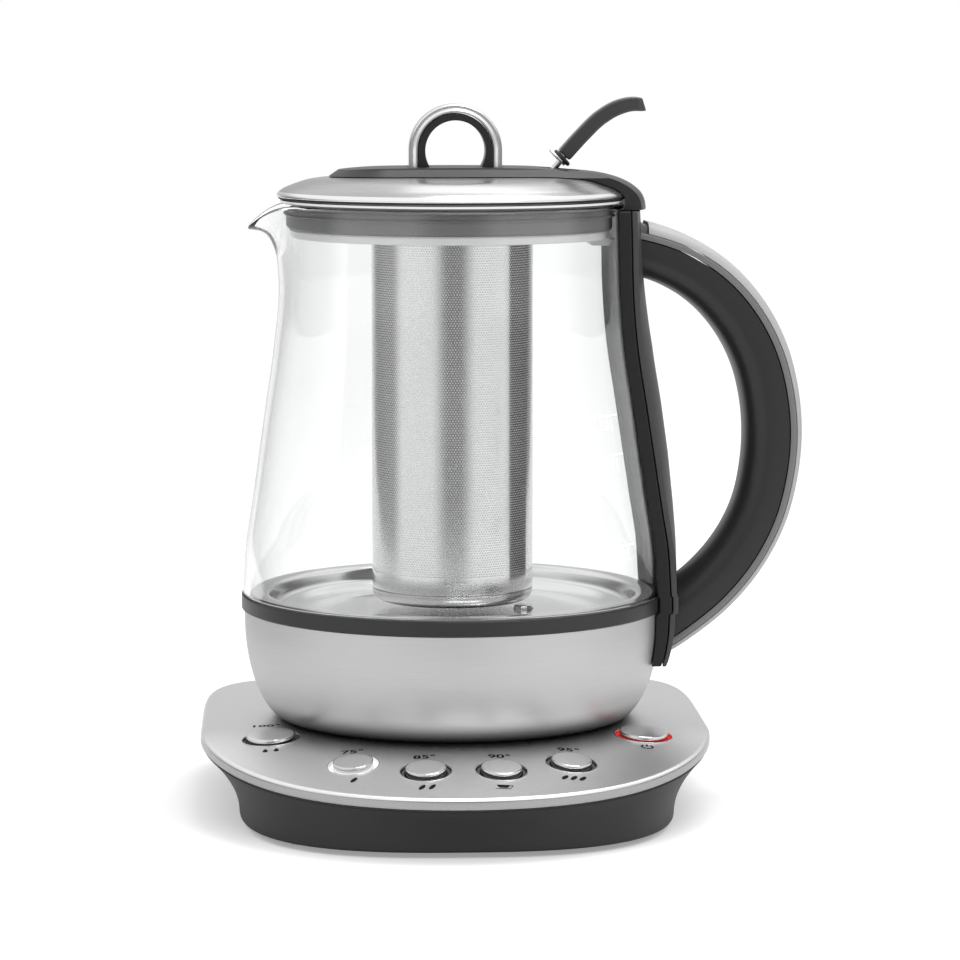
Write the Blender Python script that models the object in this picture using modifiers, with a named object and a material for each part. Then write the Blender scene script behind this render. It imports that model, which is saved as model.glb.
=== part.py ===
"""Automatic tea maker: a glass jug with handle, lid and infuser on a powered base with six buttons.

Metres, +Z up. The jug's axis stands at JUG_X, JUG_Y, so that the whole object is centred on the origin
and rests on Z = 0. The front, with the buttons, faces -Y; the handle points to +X, the spout to -X.
"""

import math

import bmesh
import bpy
import numpy as np
from mathutils import Vector

# General
GAP = 0.0003
MERGE = 0.00001
OVERRUN = 0.002
LARGE_STEPS = 28
MEDIUM_STEPS = 16
SMALL_STEPS = 10

# Base: plan, heights and sheet
BASE_HALF_WIDTH = 0.0895
BASE_FRONT = 0.112
BASE_BACK = 0.088
PLAN_POINTS = 48
LIP_FRONT_POWER = 2.0
LIP_BACK_POWER = 6.0
SEAT_Z = 0.031
SEAT_RADIUS = 0.063
FRONT_EDGE_Z = 0.0221
SIDE_EDGE_Z = 0.0297
EDGE_RISE = 0.092
PLATE_POWER = 1.4
PLATE_SHARES = (0, 0.35, 0.7, 1)
PLATE_UNDER_SHARES = (0.97, 0.5, 0)
LIP_HEIGHT = 0.0042
LIP_ROUND = 0.0016
SHEET = 0.0012
WALL = 0.0022
WALL_BOTTOM_Z = 0.002
WALL_TOP_INSET = 0.0008
WALL_FOOT_SIDE_INSET = 0.0135
WALL_FOOT_FRONT_INSET = 0.008
WALL_FOOT_BACK_INSET = 0.009
WALL_FOOT_HALF_WIDTH = BASE_HALF_WIDTH - WALL_FOOT_SIDE_INSET
WALL_FOOT_FRONT = BASE_FRONT - WALL_FOOT_FRONT_INSET
WALL_FOOT_BACK = BASE_BACK - WALL_FOOT_BACK_INSET
WALL_FRONT_POWER = 2.7
WALL_BACK_POWER = 5.0
WALL_FLARE_POWER = 2.2
WALL_SHARES = (0, 0.45, 0.75, 1)
PAN_RISE = 0.0006
PAN_SHEET = 0.0024

# Base: feet, screws, boards and connector
FOOT_RADIUS = 0.008
FOOT_STEM_RADIUS = 0.003
FOOT_SIDE_INSET = 0.024
FOOT_FRONT_INSET = 0.038
FOOT_BACK_INSET = 0.027
FOOT_X = WALL_FOOT_HALF_WIDTH - FOOT_SIDE_INSET
FOOT_FRONT_Y = FOOT_FRONT_INSET - WALL_FOOT_FRONT
FOOT_BACK_Y = WALL_FOOT_BACK - FOOT_BACK_INSET
SCREW_POINT_SHARES = (0.09, 0.41, 0.625, 0.875)
BOSS_RADIUS = 0.0042
BOSS_HEIGHT = 0.009
BOSS_BITE = 0.0014
SCREW_RADIUS = 0.0014
SCREW_HEAD_RADIUS = 0.0028
SCREW_HEAD_HEIGHT = 0.0012
SCREW_LENGTH = 0.0085
BOARD_Z = 0.0105
BOARD_SHEET = 0.0016
BOARD_HALF_BAND = 0.011
BOARD_HALF_ANGLE = 80
SWITCH_SIDE = 0.006
SWITCH_HEIGHT = 0.0032
PLUNGER_RADIUS = 0.0016
PLUNGER_HEIGHT = 0.001
POST_RADIUS = 0.0025
POST_ANGLES = (-55, 0, 55)
POWER_BOARD_SIZE = (0.062, 0.036)
POWER_BOARD_Y = 0.047
RELAY_SIZE = (0.018, 0.013, 0.0125)
TRANSFORMER_SIZE = (0.02, 0.018, 0.0115)
TOWER_RADIUS = 0.0095
TOWER_RISE = 0.0135
TOWER_ROUND = 0.0015
TOWER_FLANGE_RADIUS = 0.019
TOWER_FLANGE_SHEET = 0.003
TOWER_BODY_RADIUS = 0.0145
TOWER_BODY_DEPTH = 0.0135
GLAND_Z = 0.0107
GLAND_NECK_RADIUS = 0.0042
GLAND_FLANGE_RADIUS = 0.0052
GLAND_TIP_RADIUS = 0.0045
GLAND_BORE_RADIUS = 0.0032
GLAND_NUT_SHEET = 0.0016
GLAND_SEAT = 0.003
GLAND_REACH = 0.0055

# Buttons
BUTTON_INSET = 0.0218
BUTTON_CIRCLE = BASE_HALF_WIDTH - BUTTON_INSET
BUTTONS = (
    ("button_100", -73, True),
    ("button_75", -33, False),
    ("button_85", -10.8, False),
    ("button_90", 10.8, False),
    ("button_95", 33, False),
    ("button_power", 73, True),
)
CAP_LARGE_RADIUS = 0.0085
CAP_SMALL_RADIUS = 0.0069
WELL_LARGE_RADIUS = 0.01
WELL_SMALL_RADIUS = 0.00875
CAP_STAND = 0.0019
CAP_EDGE = 0.0009
CAP_FLANGE = 0.001
STEM_RADIUS = 0.002
BUTTON_TRAVEL = 0.0015
RUNNING_GAP = 0.00035
LENS_SINK = 0.0008
LENS_FLANGE = 0.0013
LENS_FLANGE_SHEET = 0.0012
CURVE_ALLOWANCE = 0.0009

# Jug: bowl, ring band, seal
JUG_FOOT_RISE = 0.0003
BAND_RADIUS = 0.075
BAND_HEIGHT = 0.0051
BAND_WIDTH = 0.0081
BAND_INNER_RADIUS = BAND_RADIUS - BAND_WIDTH
BOWL_STEP = 0.001
BOWL_RADIUS = BAND_RADIUS - BOWL_STEP
BOWL_HEIGHT = 0.0384
BOWL_SHEET = 0.001
BOWL_SHARES = (
    (1, 1), (0.75, 0.996), (0.5, 0.977), (0.27, 0.939), (0.09, 0.886), (0.02, 0.85), (0, 0.825), (0, 0.79),
)
SEAL_WIDTH = 0.0017
SEAL_HEIGHT = 0.0015
SEAL_SINK = 0.0012

# Jug: glass, as shares of its height and of its bottom radius
GLASS_STEP = 0.0005
GLASS_RADIUS = BAND_RADIUS - GLASS_STEP
GLASS_HEIGHT = 0.1373
GLASS_WALL = 0.0024
GLASS_SHARES = (
    (0, 1), (0.126, 0.985), (0.229, 0.956), (0.359, 0.921), (0.49, 0.886), (0.636, 0.847), (0.818, 0.824),
    (0.88, 0.822), (0.945, 0.819), (1, 0.816),
)
SPOUT_SHARES = ((0.818, 0.824), (0.88, 0.838), (0.925, 0.885), (0.936, 0.974))
MOUTH_RADIUS = GLASS_RADIUS * GLASS_SHARES[-1][1]
SPOUT_HALF_ANGLE = 27
SPOUT_STEPS = 10
GLASS_STEPS = 32

# Jug: heater plate as shares of its radius and of its depth
PLATE_STEP = 0.0038
PLATE_RADIUS = BAND_RADIUS - PLATE_STEP
PLATE_DEPTH = 0.0063
PLATE_SHEET = 0.0008
PLATE_RIM_RISE = 0.001
PRESSING_SHARES = (
    (0, 0), (0.76, 0), (0.79, 0.3), (0.84, 0.3), (0.87, 0.03), (0.9, 0.29), (0.911, 0.76), (0.934, 1), (1, 1),
)
SPREADER_SHARE = 0.7022
SPREADER_RADIUS = PLATE_RADIUS * SPREADER_SHARE
SPREADER_SHEET = 0.003
ELEMENT_SHARE = 0.82
ELEMENT_RADIUS = SPREADER_RADIUS * ELEMENT_SHARE
ELEMENT_WIRE = 0.0034
ELEMENT_HALF_GAP = 22
ELEMENT_DROP = 0.012
ELEMENT_POINTS = 22
SENSOR_SHARES = (0.605, -0.183)
SENSOR_X = ELEMENT_RADIUS * SENSOR_SHARES[0]
SENSOR_Y = ELEMENT_RADIUS * SENSOR_SHARES[1]
SENSOR_RADIUS = 0.0034
SENSOR_STAND = 0.0014
SENSOR_DEPTH = 0.011
SENSOR_FLANGE_RADIUS = 0.0052
SENSOR_FLANGE_SHEET = 0.0012
COVER_SHEET = 0.0022
COVER_CLEARANCE = 0.0014
SOCKET_CLEARANCE = 0.0007
SOCKET_WALL = 0.0095
SOCKET_FLANGE = 0.004
SOCKET_FLANGE_SHEET = 0.0026
SOCKET_TOP = 0.004

# Jug: back spine
SPINE_HALF_WIDTH = 0.0235
SPINE_CLEARANCE = 0.00045
SPINE_BOTTOM_Z = 0.0485
SPINE_TOP_SINK = 0.002
SPINE_DEPTH = 0.008
SPINE_SIDE = 0.0046
SPINE_COVER_SIDE = 0.0022
SEAM_SHARE = 0.42
SPINE_LOW_SHARES = ((0, 0.33, 0.7), (0.22, 0.43, 0.85), (0.56, 0.5, 0.95))
SPINE_BAND_SHARES = (0.56, 1)
SPINE_HIGH_SHARES = (
    (0.006, 0.63, 1), (0.107, 0.7, 1), (0.233, 0.89, 1), (0.366, 0.99, 1), (0.5, 1, 1), (0.648, 0.96, 1),
    (0.833, 0.75, 1), (1, 0.65, 1),
)

# Jug: handle, as shares of its radius by angle in degrees about its centre
HANDLE_SET_IN = 0.0306
HANDLE_X = BAND_RADIUS - HANDLE_SET_IN
HANDLE_Z = 0.1318
HANDLE_RADIUS = 0.0791
HANDLE_HALF_WIDTH = 0.014
HANDLE_ANGLES = (84, 71, 60, 49, 35, 24, 12, 0, -12, -24, -38, -51, -60, -66, -78)
HANDLE_RADIUS_SHARES = (
    0.985, 0.995, 1.01, 1.02, 1.02, 1.014, 1.004, 1, 1.002, 1.013, 1.024, 1.036, 1.047, 1.06, 1.08,
)
TRIM_DEPTH = 0.0042
TRIM_DEPTH_SHARES = (1, 0.74, 0.55, 0.52, 0.5)
STRIP_DEPTH = 0.0021
GRIP_DEPTH = 0.0162
GRIP_DEPTH_SHARES = (0.8, 0.93, 0.975, 0.94, 1)
HANDLE_STATIONS = 15
HANDLE_TOP_STEP = 0.0012
HANDLE_TOP_X = MOUTH_RADIUS + HANDLE_TOP_STEP
HANDLE_BOTTOM_STEP = 0.0015
HANDLE_BOTTOM_X = BAND_RADIUS - HANDLE_BOTTOM_STEP
SPINE_CUT_DEPTH = 0.02
GRIP_SECTION_SHARES = ((0, 0.97), (0.5, 1), (0.85, 0.84), (1, 0.45))
STRIP_SECTION_SHARES = ((0, 0.97), (1, 0.97))
TRIM_SECTION_SHARES = ((0, 0.72), (0.4, 0.93), (1, 0.95))
HANDLE_SCREW_SHARES = (0.7775, -0.7421)
HANDLE_SCREW_HEAD_RADIUS = 0.003
HANDLE_SCREW_HEAD_HEIGHT = 0.001
HANDLE_SCREW_LENGTH = 0.012

# Lid: dome, cap and bridge
DOME_STEP = 0.0012
DOME_RADIUS = MOUTH_RADIUS + DOME_STEP
DOME_SEAT = 0.0019
DOME_HEIGHT = 0.0077
DOME_SHEET = 0.001
DOME_SHARES = (
    (0.45, 1), (0.705, 0.96), (0.83, 0.84), (0.9, 0.66), (0.973, 0.39), (0.995, 0.24), (1, 0.1), (1, 0),
)
BOSS_HUB_RADIUS = 0.012
CAP_REACH_SHARE = 0.703
CAP_REACH = DOME_RADIUS * CAP_REACH_SHARE
CAP_SHEET = 0.0031
CAP_HALF_WIDTH = 0.02
CAP_SLOPE = 0.004
BRIDGE_STEP = 0.0074
BRIDGE_REACH = MOUTH_RADIUS + BRIDGE_STEP
BRIDGE_DROP = 0.0016
BRIDGE_SHARES = (
    (0, 1), (0.26, 0.993), (0.5, 0.969), (0.634, 0.911), (0.796, 0.822), (0.88, 0.699), (0.94, 0.541),
    (0.977, 0.377), (0.994, 0.205), (1, 0.034), (1, 0),
)

# Lid: plug, gasket, lower plate
PLUG_SHEET = 0.0024
PLUG_TOP_RISE = 0.0034
PLUG_STEP = 0.0062
PLUG_RADIUS = MOUTH_RADIUS - PLUG_STEP
PLUG_FLANGE_STEP = 0.0036
PLUG_FLANGE_RADIUS = MOUTH_RADIUS - PLUG_FLANGE_STEP
PLUG_WALL = 0.003
PLUG_DEPTH = 0.009
GASKET_STEP = 0.0044
GASKET_RADIUS = MOUTH_RADIUS - GASKET_STEP
GASKET_FLANGE_STEP = 0.0006
GASKET_FLANGE_RADIUS = MOUTH_RADIUS - GASKET_FLANGE_STEP
GASKET_FLANGE_SHEET = 0.0011
GASKET_RIB = 0.0016
GASKET_RIB_HEIGHT = 0.0012
LOWER_PLATE_STEP = 0.0055
LOWER_PLATE_RADIUS = MOUTH_RADIUS - LOWER_PLATE_STEP
LOWER_PLATE_SHEET = 0.0026

# Lid: loop handle
LOOP_X = 0.001
LOOP_RISE = 0.0063
LOOP_RADIUS = 0.0164
LOOP_BAND = 0.0026
LOOP_HOLE_RADIUS = 0.0106
LOOP_BAND_HALF_WIDTH = 0.0065
LOOP_INSERT_HALF_WIDTH = 0.0056
LOOP_SINK = 0.0018
LOOP_POINTS = 16

# Lid: lever and catch
LEVER_PIN_SET_IN = 0.0224
LEVER_PIN_X = PLUG_RADIUS - LEVER_PIN_SET_IN
LEVER_PIN_RISE = 0.0026
PIN_RADIUS = 0.0012
PIN_HALF_LENGTH = 0.0068
EAR_INNER = 0.0034
EAR_SHEET = 0.0026
EAR_HALF_LENGTH = 0.0028
HUB_RADIUS = 0.0021
HUB_HALF_WIDTH = 0.003
ROD_RADIUS = 0.0011
ROD_KNEE_REACH = 0.0033
ROD_COLLAR_REACH = 0.0056
ROD_COLLAR_RISE = 0.0049
GRIP_RISES = (0.0061, 0.0108, 0.0172, 0.0206, 0.0218, 0.0216)
GRIP_REACHES = (0.008, 0.0133, 0.0205, 0.0258, 0.0312, 0.0353)
LEVER_GRIP_HALF_WIDTH = 0.0042
LEVER_GRIP_THICKNESS = 0.0054
LEVER_GRIP_SHARES = (0.72, 1, 1, 1, 0.95, 0.8)
WASHER_RADIUS = 0.0033
WASHER_SHEET = 0.0008
RUBBER_RADIUS = 0.0037
RUBBER_SHEET = 0.0018
CRANK_REACH = 0.0108
CRANK_DROP = 0.0105
RECESS_START = 0.0016
RECESS_END = 0.0105
RECESS_DEPTH = 0.0017
CATCH_TRAVEL = 0.003
CATCH_LENGTH = 0.0185
CATCH_HALF_WIDTH = 0.008
CATCH_SHEET = 0.0026
CATCH_TIP_CLEARANCE = 0.001
CATCH_WALL = 0.002
CATCH_WALL_HALF_WIDTH = 0.0038
CATCH_WALL_HEIGHT = 0.0098

# Infuser
BASKET_SHARE = 0.3826
BASKET_RADIUS = GLASS_RADIUS * BASKET_SHARE
BASKET_WALL = 0.0006
BASKET_BOTTOM_Z = 0.0725
CUP_HEIGHT = 0.0045
CUP_ROUND = 0.0042
CUP_SHEET = 0.0008
SPIGOT_HEIGHT = 0.004
SPIGOT_SHEET = 0.0007
BASKET_TOP_SINK = 0.0018
LUG_REACH = 0.003
LUG_HEIGHT = 0.0015
LUG_HALF_ANGLE = 13
LUG_ANGLE = 60
ENTRY_HALF_ANGLE = 17
BASKET_TWIST = 30
COLLAR_LIP = 0.002
COLLAR_GROOVE = 0.0025
COLLAR_WALL = 0.0005
COLLAR_CLEARANCE = 0.0005
SKIRT_WALL = 0.002

# Heights that follow from those above
JUG_FOOT_Z = SEAT_Z + JUG_FOOT_RISE
BAND_BOTTOM_Z = JUG_FOOT_Z + BOWL_HEIGHT + GAP
BAND_TOP_Z = BAND_BOTTOM_Z + BAND_HEIGHT
SEAL_TOP_Z = BAND_TOP_Z - SEAL_SINK + SEAL_HEIGHT
GLASS_BOTTOM_Z = SEAL_TOP_Z + GAP
GLASS_RIM_Z = GLASS_BOTTOM_Z + GLASS_HEIGHT
PLATE_TOP_Z = BAND_TOP_Z + PLATE_RIM_RISE
FLOOR_Z = PLATE_TOP_Z - PLATE_DEPTH
DOME_RIM_Z = GLASS_RIM_Z + DOME_SEAT
DOME_TOP_Z = DOME_RIM_Z + DOME_HEIGHT
CAP_BOTTOM_Z = DOME_TOP_Z + GAP
CAP_TOP_Z = CAP_BOTTOM_Z + CAP_SHEET
BRIDGE_BOTTOM_Z = GLASS_RIM_Z - BRIDGE_DROP
PLUG_TOP_Z = GLASS_RIM_Z + PLUG_TOP_RISE
PLUG_UNDER_Z = PLUG_TOP_Z - PLUG_SHEET
PLUG_BOTTOM_Z = GLASS_RIM_Z - PLUG_DEPTH
LOWER_PLATE_Z = PLUG_BOTTOM_Z - GAP - LOWER_PLATE_SHEET
SPINE_TOP_Z = GLASS_RIM_Z - SPINE_TOP_SINK
COLLAR_INNER_RADIUS = BASKET_RADIUS + COLLAR_CLEARANCE
COLLAR_GROOVE_RADIUS = BASKET_RADIUS + LUG_REACH + COLLAR_CLEARANCE
COLLAR_RADIUS = COLLAR_GROOVE_RADIUS + COLLAR_WALL
COLLAR_BOTTOM_Z = PLUG_BOTTOM_Z + GAP
COLLAR_TOP_Z = PLUG_UNDER_Z - GAP
BASKET_TOP_Z = COLLAR_TOP_Z - BASKET_TOP_SINK
LEVER_PIN_Z = PLUG_TOP_Z + LEVER_PIN_RISE
BASE_CENTRE_Y = BASE_HALF_WIDTH - BASE_FRONT
PAN_Z = WALL_BOTTOM_Z + PAN_RISE
PAN_TOP_Z = PAN_Z + PAN_SHEET
BOARD_TOP_Z = BOARD_Z + BOARD_SHEET
SWITCH_TOP_Z = BOARD_TOP_Z + SWITCH_HEIGHT + PLUNGER_HEIGHT
HANDLE_REACH = HANDLE_X + HANDLE_RADIUS
JUG_X = (BASE_HALF_WIDTH - HANDLE_REACH) / 2
JUG_Y = (BASE_FRONT - BASE_BACK) / 2


def clear_scene():
    for obj in list(bpy.data.objects):
        bpy.data.objects.remove(obj)


def collection(name):
    """A new collection in the scene."""
    found = bpy.data.collections.new(name)
    bpy.context.scene.collection.children.link(found)
    return found


def look(name, colour, roughness, metallic=0.0, alpha=1.0):
    """A Principled material with the piece's colour, roughness and metallic value."""
    made = bpy.data.materials.new(name)
    made.use_nodes = True
    shader = made.node_tree.nodes["Principled BSDF"]
    shader.inputs["Base Color"].default_value = (*colour, 1)
    shader.inputs["Roughness"].default_value = roughness
    shader.inputs["Metallic"].default_value = metallic
    shader.inputs["Alpha"].default_value = alpha
    made.diffuse_color = (*colour, alpha)
    return made


def empty(name, parent=None, place=(0, 0, 0), turn=(0, 0, 0)):
    """An empty on a joint's axis, which carries the pieces that move there."""
    obj = bpy.data.objects.new(name, None)
    PARTS.objects.link(obj)
    obj.parent = parent
    obj.location = place
    obj.rotation_euler = turn
    return obj


def add(name, mesh, finish, parent, place=(0, 0, 0), turn=(0, 0, 0)):
    """A piece of the object, or a hidden shape for a Boolean where it has no finish."""
    obj = bpy.data.objects.new(name, mesh)
    (PARTS if finish else CUTTERS).objects.link(obj)
    if finish:
        mesh.materials.append(finish)
    else:
        obj.hide_render = True
        obj.display_type = "WIRE"
    obj.parent = parent
    obj.location = place
    obj.rotation_euler = turn
    return obj


def combine(target, shape, operation="DIFFERENCE"):
    """A Boolean of the hidden shape on the target."""
    step = target.modifiers.new(shape.name, "BOOLEAN")
    step.operation = operation
    step.object = shape


def mesh_of(name, build):
    """A mesh filled by a function that is given a bmesh."""
    mesh = bpy.data.meshes.new(name)
    shape = bmesh.new()
    build(shape)
    shape.to_mesh(mesh)
    shape.free()
    return mesh


def drum(name, finish, parent, radius, height, place=(0, 0, 0), turn=(0, 0, 0), steps=MEDIUM_STEPS):
    """A cylinder centred on its place."""

    def build(shape):
        bmesh.ops.create_cone(
            shape, cap_ends=True, segments=steps, radius1=radius, radius2=radius, depth=height
        )

    return add(name, mesh_of(name, build), finish, parent, place, turn)


def block(name, finish, parent, low, high, place=(0, 0, 0), turn=(0, 0, 0)):
    """A box between two corners."""
    low, high = Vector(low), Vector(high)

    def build(shape):
        bmesh.ops.create_cube(shape, size=1)
        bmesh.ops.scale(shape, vec=high - low, verts=shape.verts)
        bmesh.ops.translate(shape, vec=(high + low) / 2, verts=shape.verts)

    return add(name, mesh_of(name, build), finish, parent, place, turn)


def turned(name, finish, parent, profile, steps=LARGE_STEPS, place=(0, 0, 0), turn=(0, 0, 0)):
    """A turned piece: the profile's (radius, height) points carried round Z by a Screw modifier."""
    points = [tuple(point) for point in profile]
    area = sum(a[0] * b[1] - b[0] * a[1] for a, b in zip(points, points[1:] + points[:1]))
    if area > 0:
        points.reverse()
    edges = [(i, i + 1) for i in range(len(points) - 1)]
    if points[0][0] > 0 or points[-1][0] > 0:
        edges.append((len(points) - 1, 0))
    mesh = bpy.data.meshes.new(name)
    mesh.from_pydata([(radius, 0, height) for radius, height in points], edges, [])
    obj = add(name, mesh, finish, parent, place, turn)
    screw = obj.modifiers.new("turn", "SCREW")
    screw.steps = steps
    screw.render_steps = steps
    screw.use_merge_vertices = True
    screw.merge_threshold = MERGE
    screw.use_smooth_shade = True
    return obj


def lofted(name, finish, parent, rings, closed=False, place=(0, 0, 0), turn=(0, 0, 0)):
    """A skin over rings with equal counts of points, its ends capped or joined to each other."""
    rings = [np.asarray(ring, float) for ring in rings]
    count = len(rings[0])
    pairs = list(zip(range(len(rings)), range(1, len(rings))))
    if closed:
        pairs.append((len(rings) - 1, 0))

    def build(shape):
        points = [[shape.verts.new(point) for point in ring] for ring in rings]
        for a, b in pairs:
            for i in range(count):
                j = (i + 1) % count
                shape.faces.new((points[a][i], points[a][j], points[b][j], points[b][i]))
        if not closed:
            shape.faces.new(points[0])
            shape.faces.new(points[-1])
        bmesh.ops.recalc_face_normals(shape, faces=shape.faces)

    mesh = mesh_of(name, build)
    mesh.shade_smooth()
    mesh.set_sharp_from_angle(angle=math.radians(35))
    return add(name, mesh, finish, parent, place, turn)


def solid_of_curve(name, curve, finish, parent, place, turn):
    """The closed mesh of a curve, so that it can be cut and joined."""
    source = bpy.data.objects.new(name + "_curve", curve)
    CUTTERS.objects.link(source)
    source.hide_render = True
    graph = bpy.context.evaluated_depsgraph_get()
    mesh = bpy.data.meshes.new_from_object(source.evaluated_get(graph))
    bpy.data.objects.remove(source)
    mesh.name = name
    mesh.materials.clear()
    shape = bmesh.new()
    shape.from_mesh(mesh)
    bmesh.ops.remove_doubles(shape, verts=shape.verts, dist=MERGE)
    bmesh.ops.recalc_face_normals(shape, faces=shape.faces)
    shape.to_mesh(mesh)
    shape.free()
    return add(name, mesh, finish, parent, place, turn)


def slab(name, finish, parent, outline, half_thickness, place=(0, 0, 0), turn=(0, 0, 0)):
    """A flat outline in its own XY plane, thickened both ways along its own Z."""
    curve = bpy.data.curves.new(name, "CURVE")
    curve.dimensions = "2D"
    curve.fill_mode = "BOTH"
    curve.extrude = half_thickness
    spline = curve.splines.new("POLY")
    spline.points.add(len(outline) - 1)
    for point, (x, y) in zip(spline.points, outline):
        point.co = (x, y, 0, 1)
    spline.use_cyclic_u = True
    return solid_of_curve(name, curve, finish, parent, place, turn)


def wire(name, finish, parent, path, radius, place=(0, 0, 0)):
    """A round wire along a path, with closed ends."""
    curve = bpy.data.curves.new(name, "CURVE")
    curve.dimensions = "3D"
    curve.bevel_depth = radius
    curve.bevel_resolution = 2
    curve.use_fill_caps = True
    spline = curve.splines.new("POLY")
    spline.points.add(len(path) - 1)
    for point, (x, y, z) in zip(spline.points, path):
        point.co = (x, y, z, 1)
    return solid_of_curve(name, curve, finish, parent, place, (0, 0, 0))


def arc(centre, radius, start, end, count):
    """Points of an arc about a centre in a plane, its angles in degrees."""
    angles = np.radians(np.linspace(start, end, count))
    return [(centre[0] + radius * math.cos(a), centre[1] + radius * math.sin(a)) for a in angles]


def offset(points, distance):
    """The polyline moved to its right by a distance, corners kept sharp."""
    points = np.asarray(points, float)
    along = np.diff(points, axis=0)
    along /= np.linalg.norm(along, axis=1)[:, None]
    right = np.column_stack([along[:, 1], -along[:, 0]])
    before = np.vstack([right[:1], right])
    after = np.vstack([right, right[-1:]])
    middle = before + after
    middle /= np.linalg.norm(middle, axis=1)[:, None]
    stretch = 1 / np.maximum(np.sum(middle * after, axis=1), 0.5)
    return points + middle * stretch[:, None] * distance


def smoothstep(share):
    share = np.clip(share, 0, 1)
    return share * share * (3 - 2 * share)


def plan(half_width, front, back, front_power, back_power):
    """A plan outline: |x/a|^n + |y/b|^n = 1 about the front arc's centre, with its own b and n behind."""
    angle = np.arange(PLAN_POINTS) * 2 * math.pi / PLAN_POINTS
    across, along = np.cos(angle), np.sin(angle)
    power = np.where(along < 0, front_power, back_power)
    reach = np.where(along < 0, front + BASE_CENTRE_Y, back - BASE_CENTRE_Y)
    share = (np.abs(across) ** power + np.abs(along) ** power) ** (-1 / power)
    return np.column_stack([half_width * across * share, BASE_CENTRE_Y + reach * along * share])


def lip_plan(inset):
    """The steel plate's outline, drawn in by an inset."""
    return plan(
        BASE_HALF_WIDTH - inset, BASE_FRONT - inset, BASE_BACK - inset, LIP_FRONT_POWER, LIP_BACK_POWER
    )


def foot_plan(inset):
    """The wall's outline at its foot, drawn in by an inset."""
    return plan(
        WALL_FOOT_HALF_WIDTH - inset,
        WALL_FOOT_FRONT - inset,
        WALL_FOOT_BACK - inset,
        WALL_FRONT_POWER,
        WALL_BACK_POWER,
    )


def edge_heights():
    """The height of the plate's edge at each point of its outline, low in front and level behind."""
    y = lip_plan(LIP_ROUND)[:, 1]
    return FRONT_EDGE_Z + (SIDE_EDGE_Z - FRONT_EDGE_Z) * smoothstep((y + BASE_FRONT) / EDGE_RISE)


def plate_ring(share, drop):
    """A ring of the top plate between the seat's circle (0) and the edge (1), lowered by a drop."""
    edge = lip_plan(LIP_ROUND)
    seat = SEAT_RADIUS * edge / np.linalg.norm(edge, axis=1)[:, None]
    fall = (SEAT_Z - edge_heights()) * share**PLATE_POWER
    return np.column_stack([seat + (edge - seat) * share, SEAT_Z - fall - drop])


def plate_height(x, y):
    """The top plate's height over a point outside the seat."""
    edge = lip_plan(LIP_ROUND)
    angles = np.arctan2(edge[:, 1], edge[:, 0])
    order = np.argsort(angles)
    angle = math.atan2(y, x)
    reach = np.interp(angle, angles[order], np.linalg.norm(edge, axis=1)[order], period=2 * math.pi)
    height = np.interp(angle, angles[order], edge_heights()[order], period=2 * math.pi)
    share = (math.hypot(x, y) - SEAT_RADIUS) / (reach - SEAT_RADIUS)
    return SEAT_Z - (SEAT_Z - height) * max(share, 0) ** PLATE_POWER


def circle_ring(radius, height):
    """A level ring whose points face those of the plate's outline."""
    edge = lip_plan(LIP_ROUND)
    return np.column_stack(
        [radius * edge / np.linalg.norm(edge, axis=1)[:, None], np.full(len(edge), height)]
    )


def lip_ring(inset, drop):
    return np.column_stack([lip_plan(inset), edge_heights() - drop])


def wall_ring(share, inset):
    """A ring of the base's wall, from its foot (0) to the lip (1), flaring out near the top."""
    foot, top = foot_plan(inset), lip_plan(WALL_TOP_INSET + inset)
    flare = share**WALL_FLARE_POWER
    height = WALL_BOTTOM_Z + (edge_heights() - LIP_HEIGHT - GAP - WALL_BOTTOM_Z) * share
    return np.column_stack([foot + (top - foot) * flare, height])


def button_place(angle):
    """A button's point on the plate and its tilt, from the plate's slope there."""
    turn = math.radians(angle)
    x = BUTTON_CIRCLE * math.sin(turn)
    y = BASE_CENTRE_Y - BUTTON_CIRCLE * math.cos(turn)
    step = CAP_SMALL_RADIUS
    slope_x = (plate_height(x + step, y) - plate_height(x - step, y)) / (2 * step)
    slope_y = (plate_height(x, y + step) - plate_height(x, y - step)) / (2 * step)
    normal = Vector((-slope_x, -slope_y, 1)).normalized()
    return Vector((x, y, plate_height(x, y))), normal


def make_base_plate(parent):
    """The steel top plate with its rolled lip, pierced for the connector and the buttons."""
    hole = TOWER_RADIUS + GAP
    rings = [circle_ring(hole, SEAT_Z)]
    rings += [plate_ring(share, 0) for share in PLATE_SHARES]
    rings += [
        lip_ring(LIP_ROUND / 3, LIP_ROUND / 3),
        lip_ring(0, LIP_ROUND),
        lip_ring(0, LIP_HEIGHT - LIP_ROUND / 4),
        lip_ring(LIP_ROUND / 4, LIP_HEIGHT),
        lip_ring(SHEET + LIP_ROUND / 4, LIP_HEIGHT),
        lip_ring(SHEET + LIP_ROUND / 4, SHEET + LIP_ROUND / 2),
    ]
    rings += [plate_ring(share, SHEET) for share in PLATE_UNDER_SHARES]
    rings.append(circle_ring(hole, SEAT_Z - SHEET))
    plate = lofted("base_top_plate", STEEL, parent, rings, closed=True)
    for name, angle, large in BUTTONS:
        point, normal = button_place(angle)
        well = WELL_LARGE_RADIUS if large else WELL_SMALL_RADIUS
        turn = normal.to_track_quat("Z", "Y").to_euler()
        cutter = drum(name + "_well", None, parent, well, 2 * LIP_HEIGHT, point, turn, MEDIUM_STEPS)
        combine(plate, cutter)


def screw_points():
    """The pan screws' places, each just inside the wall."""
    line = foot_plan(WALL + BOSS_RADIUS - BOSS_BITE)
    return [line[round(share * PLAN_POINTS) % PLAN_POINTS] for share in SCREW_POINT_SHARES]


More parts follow.
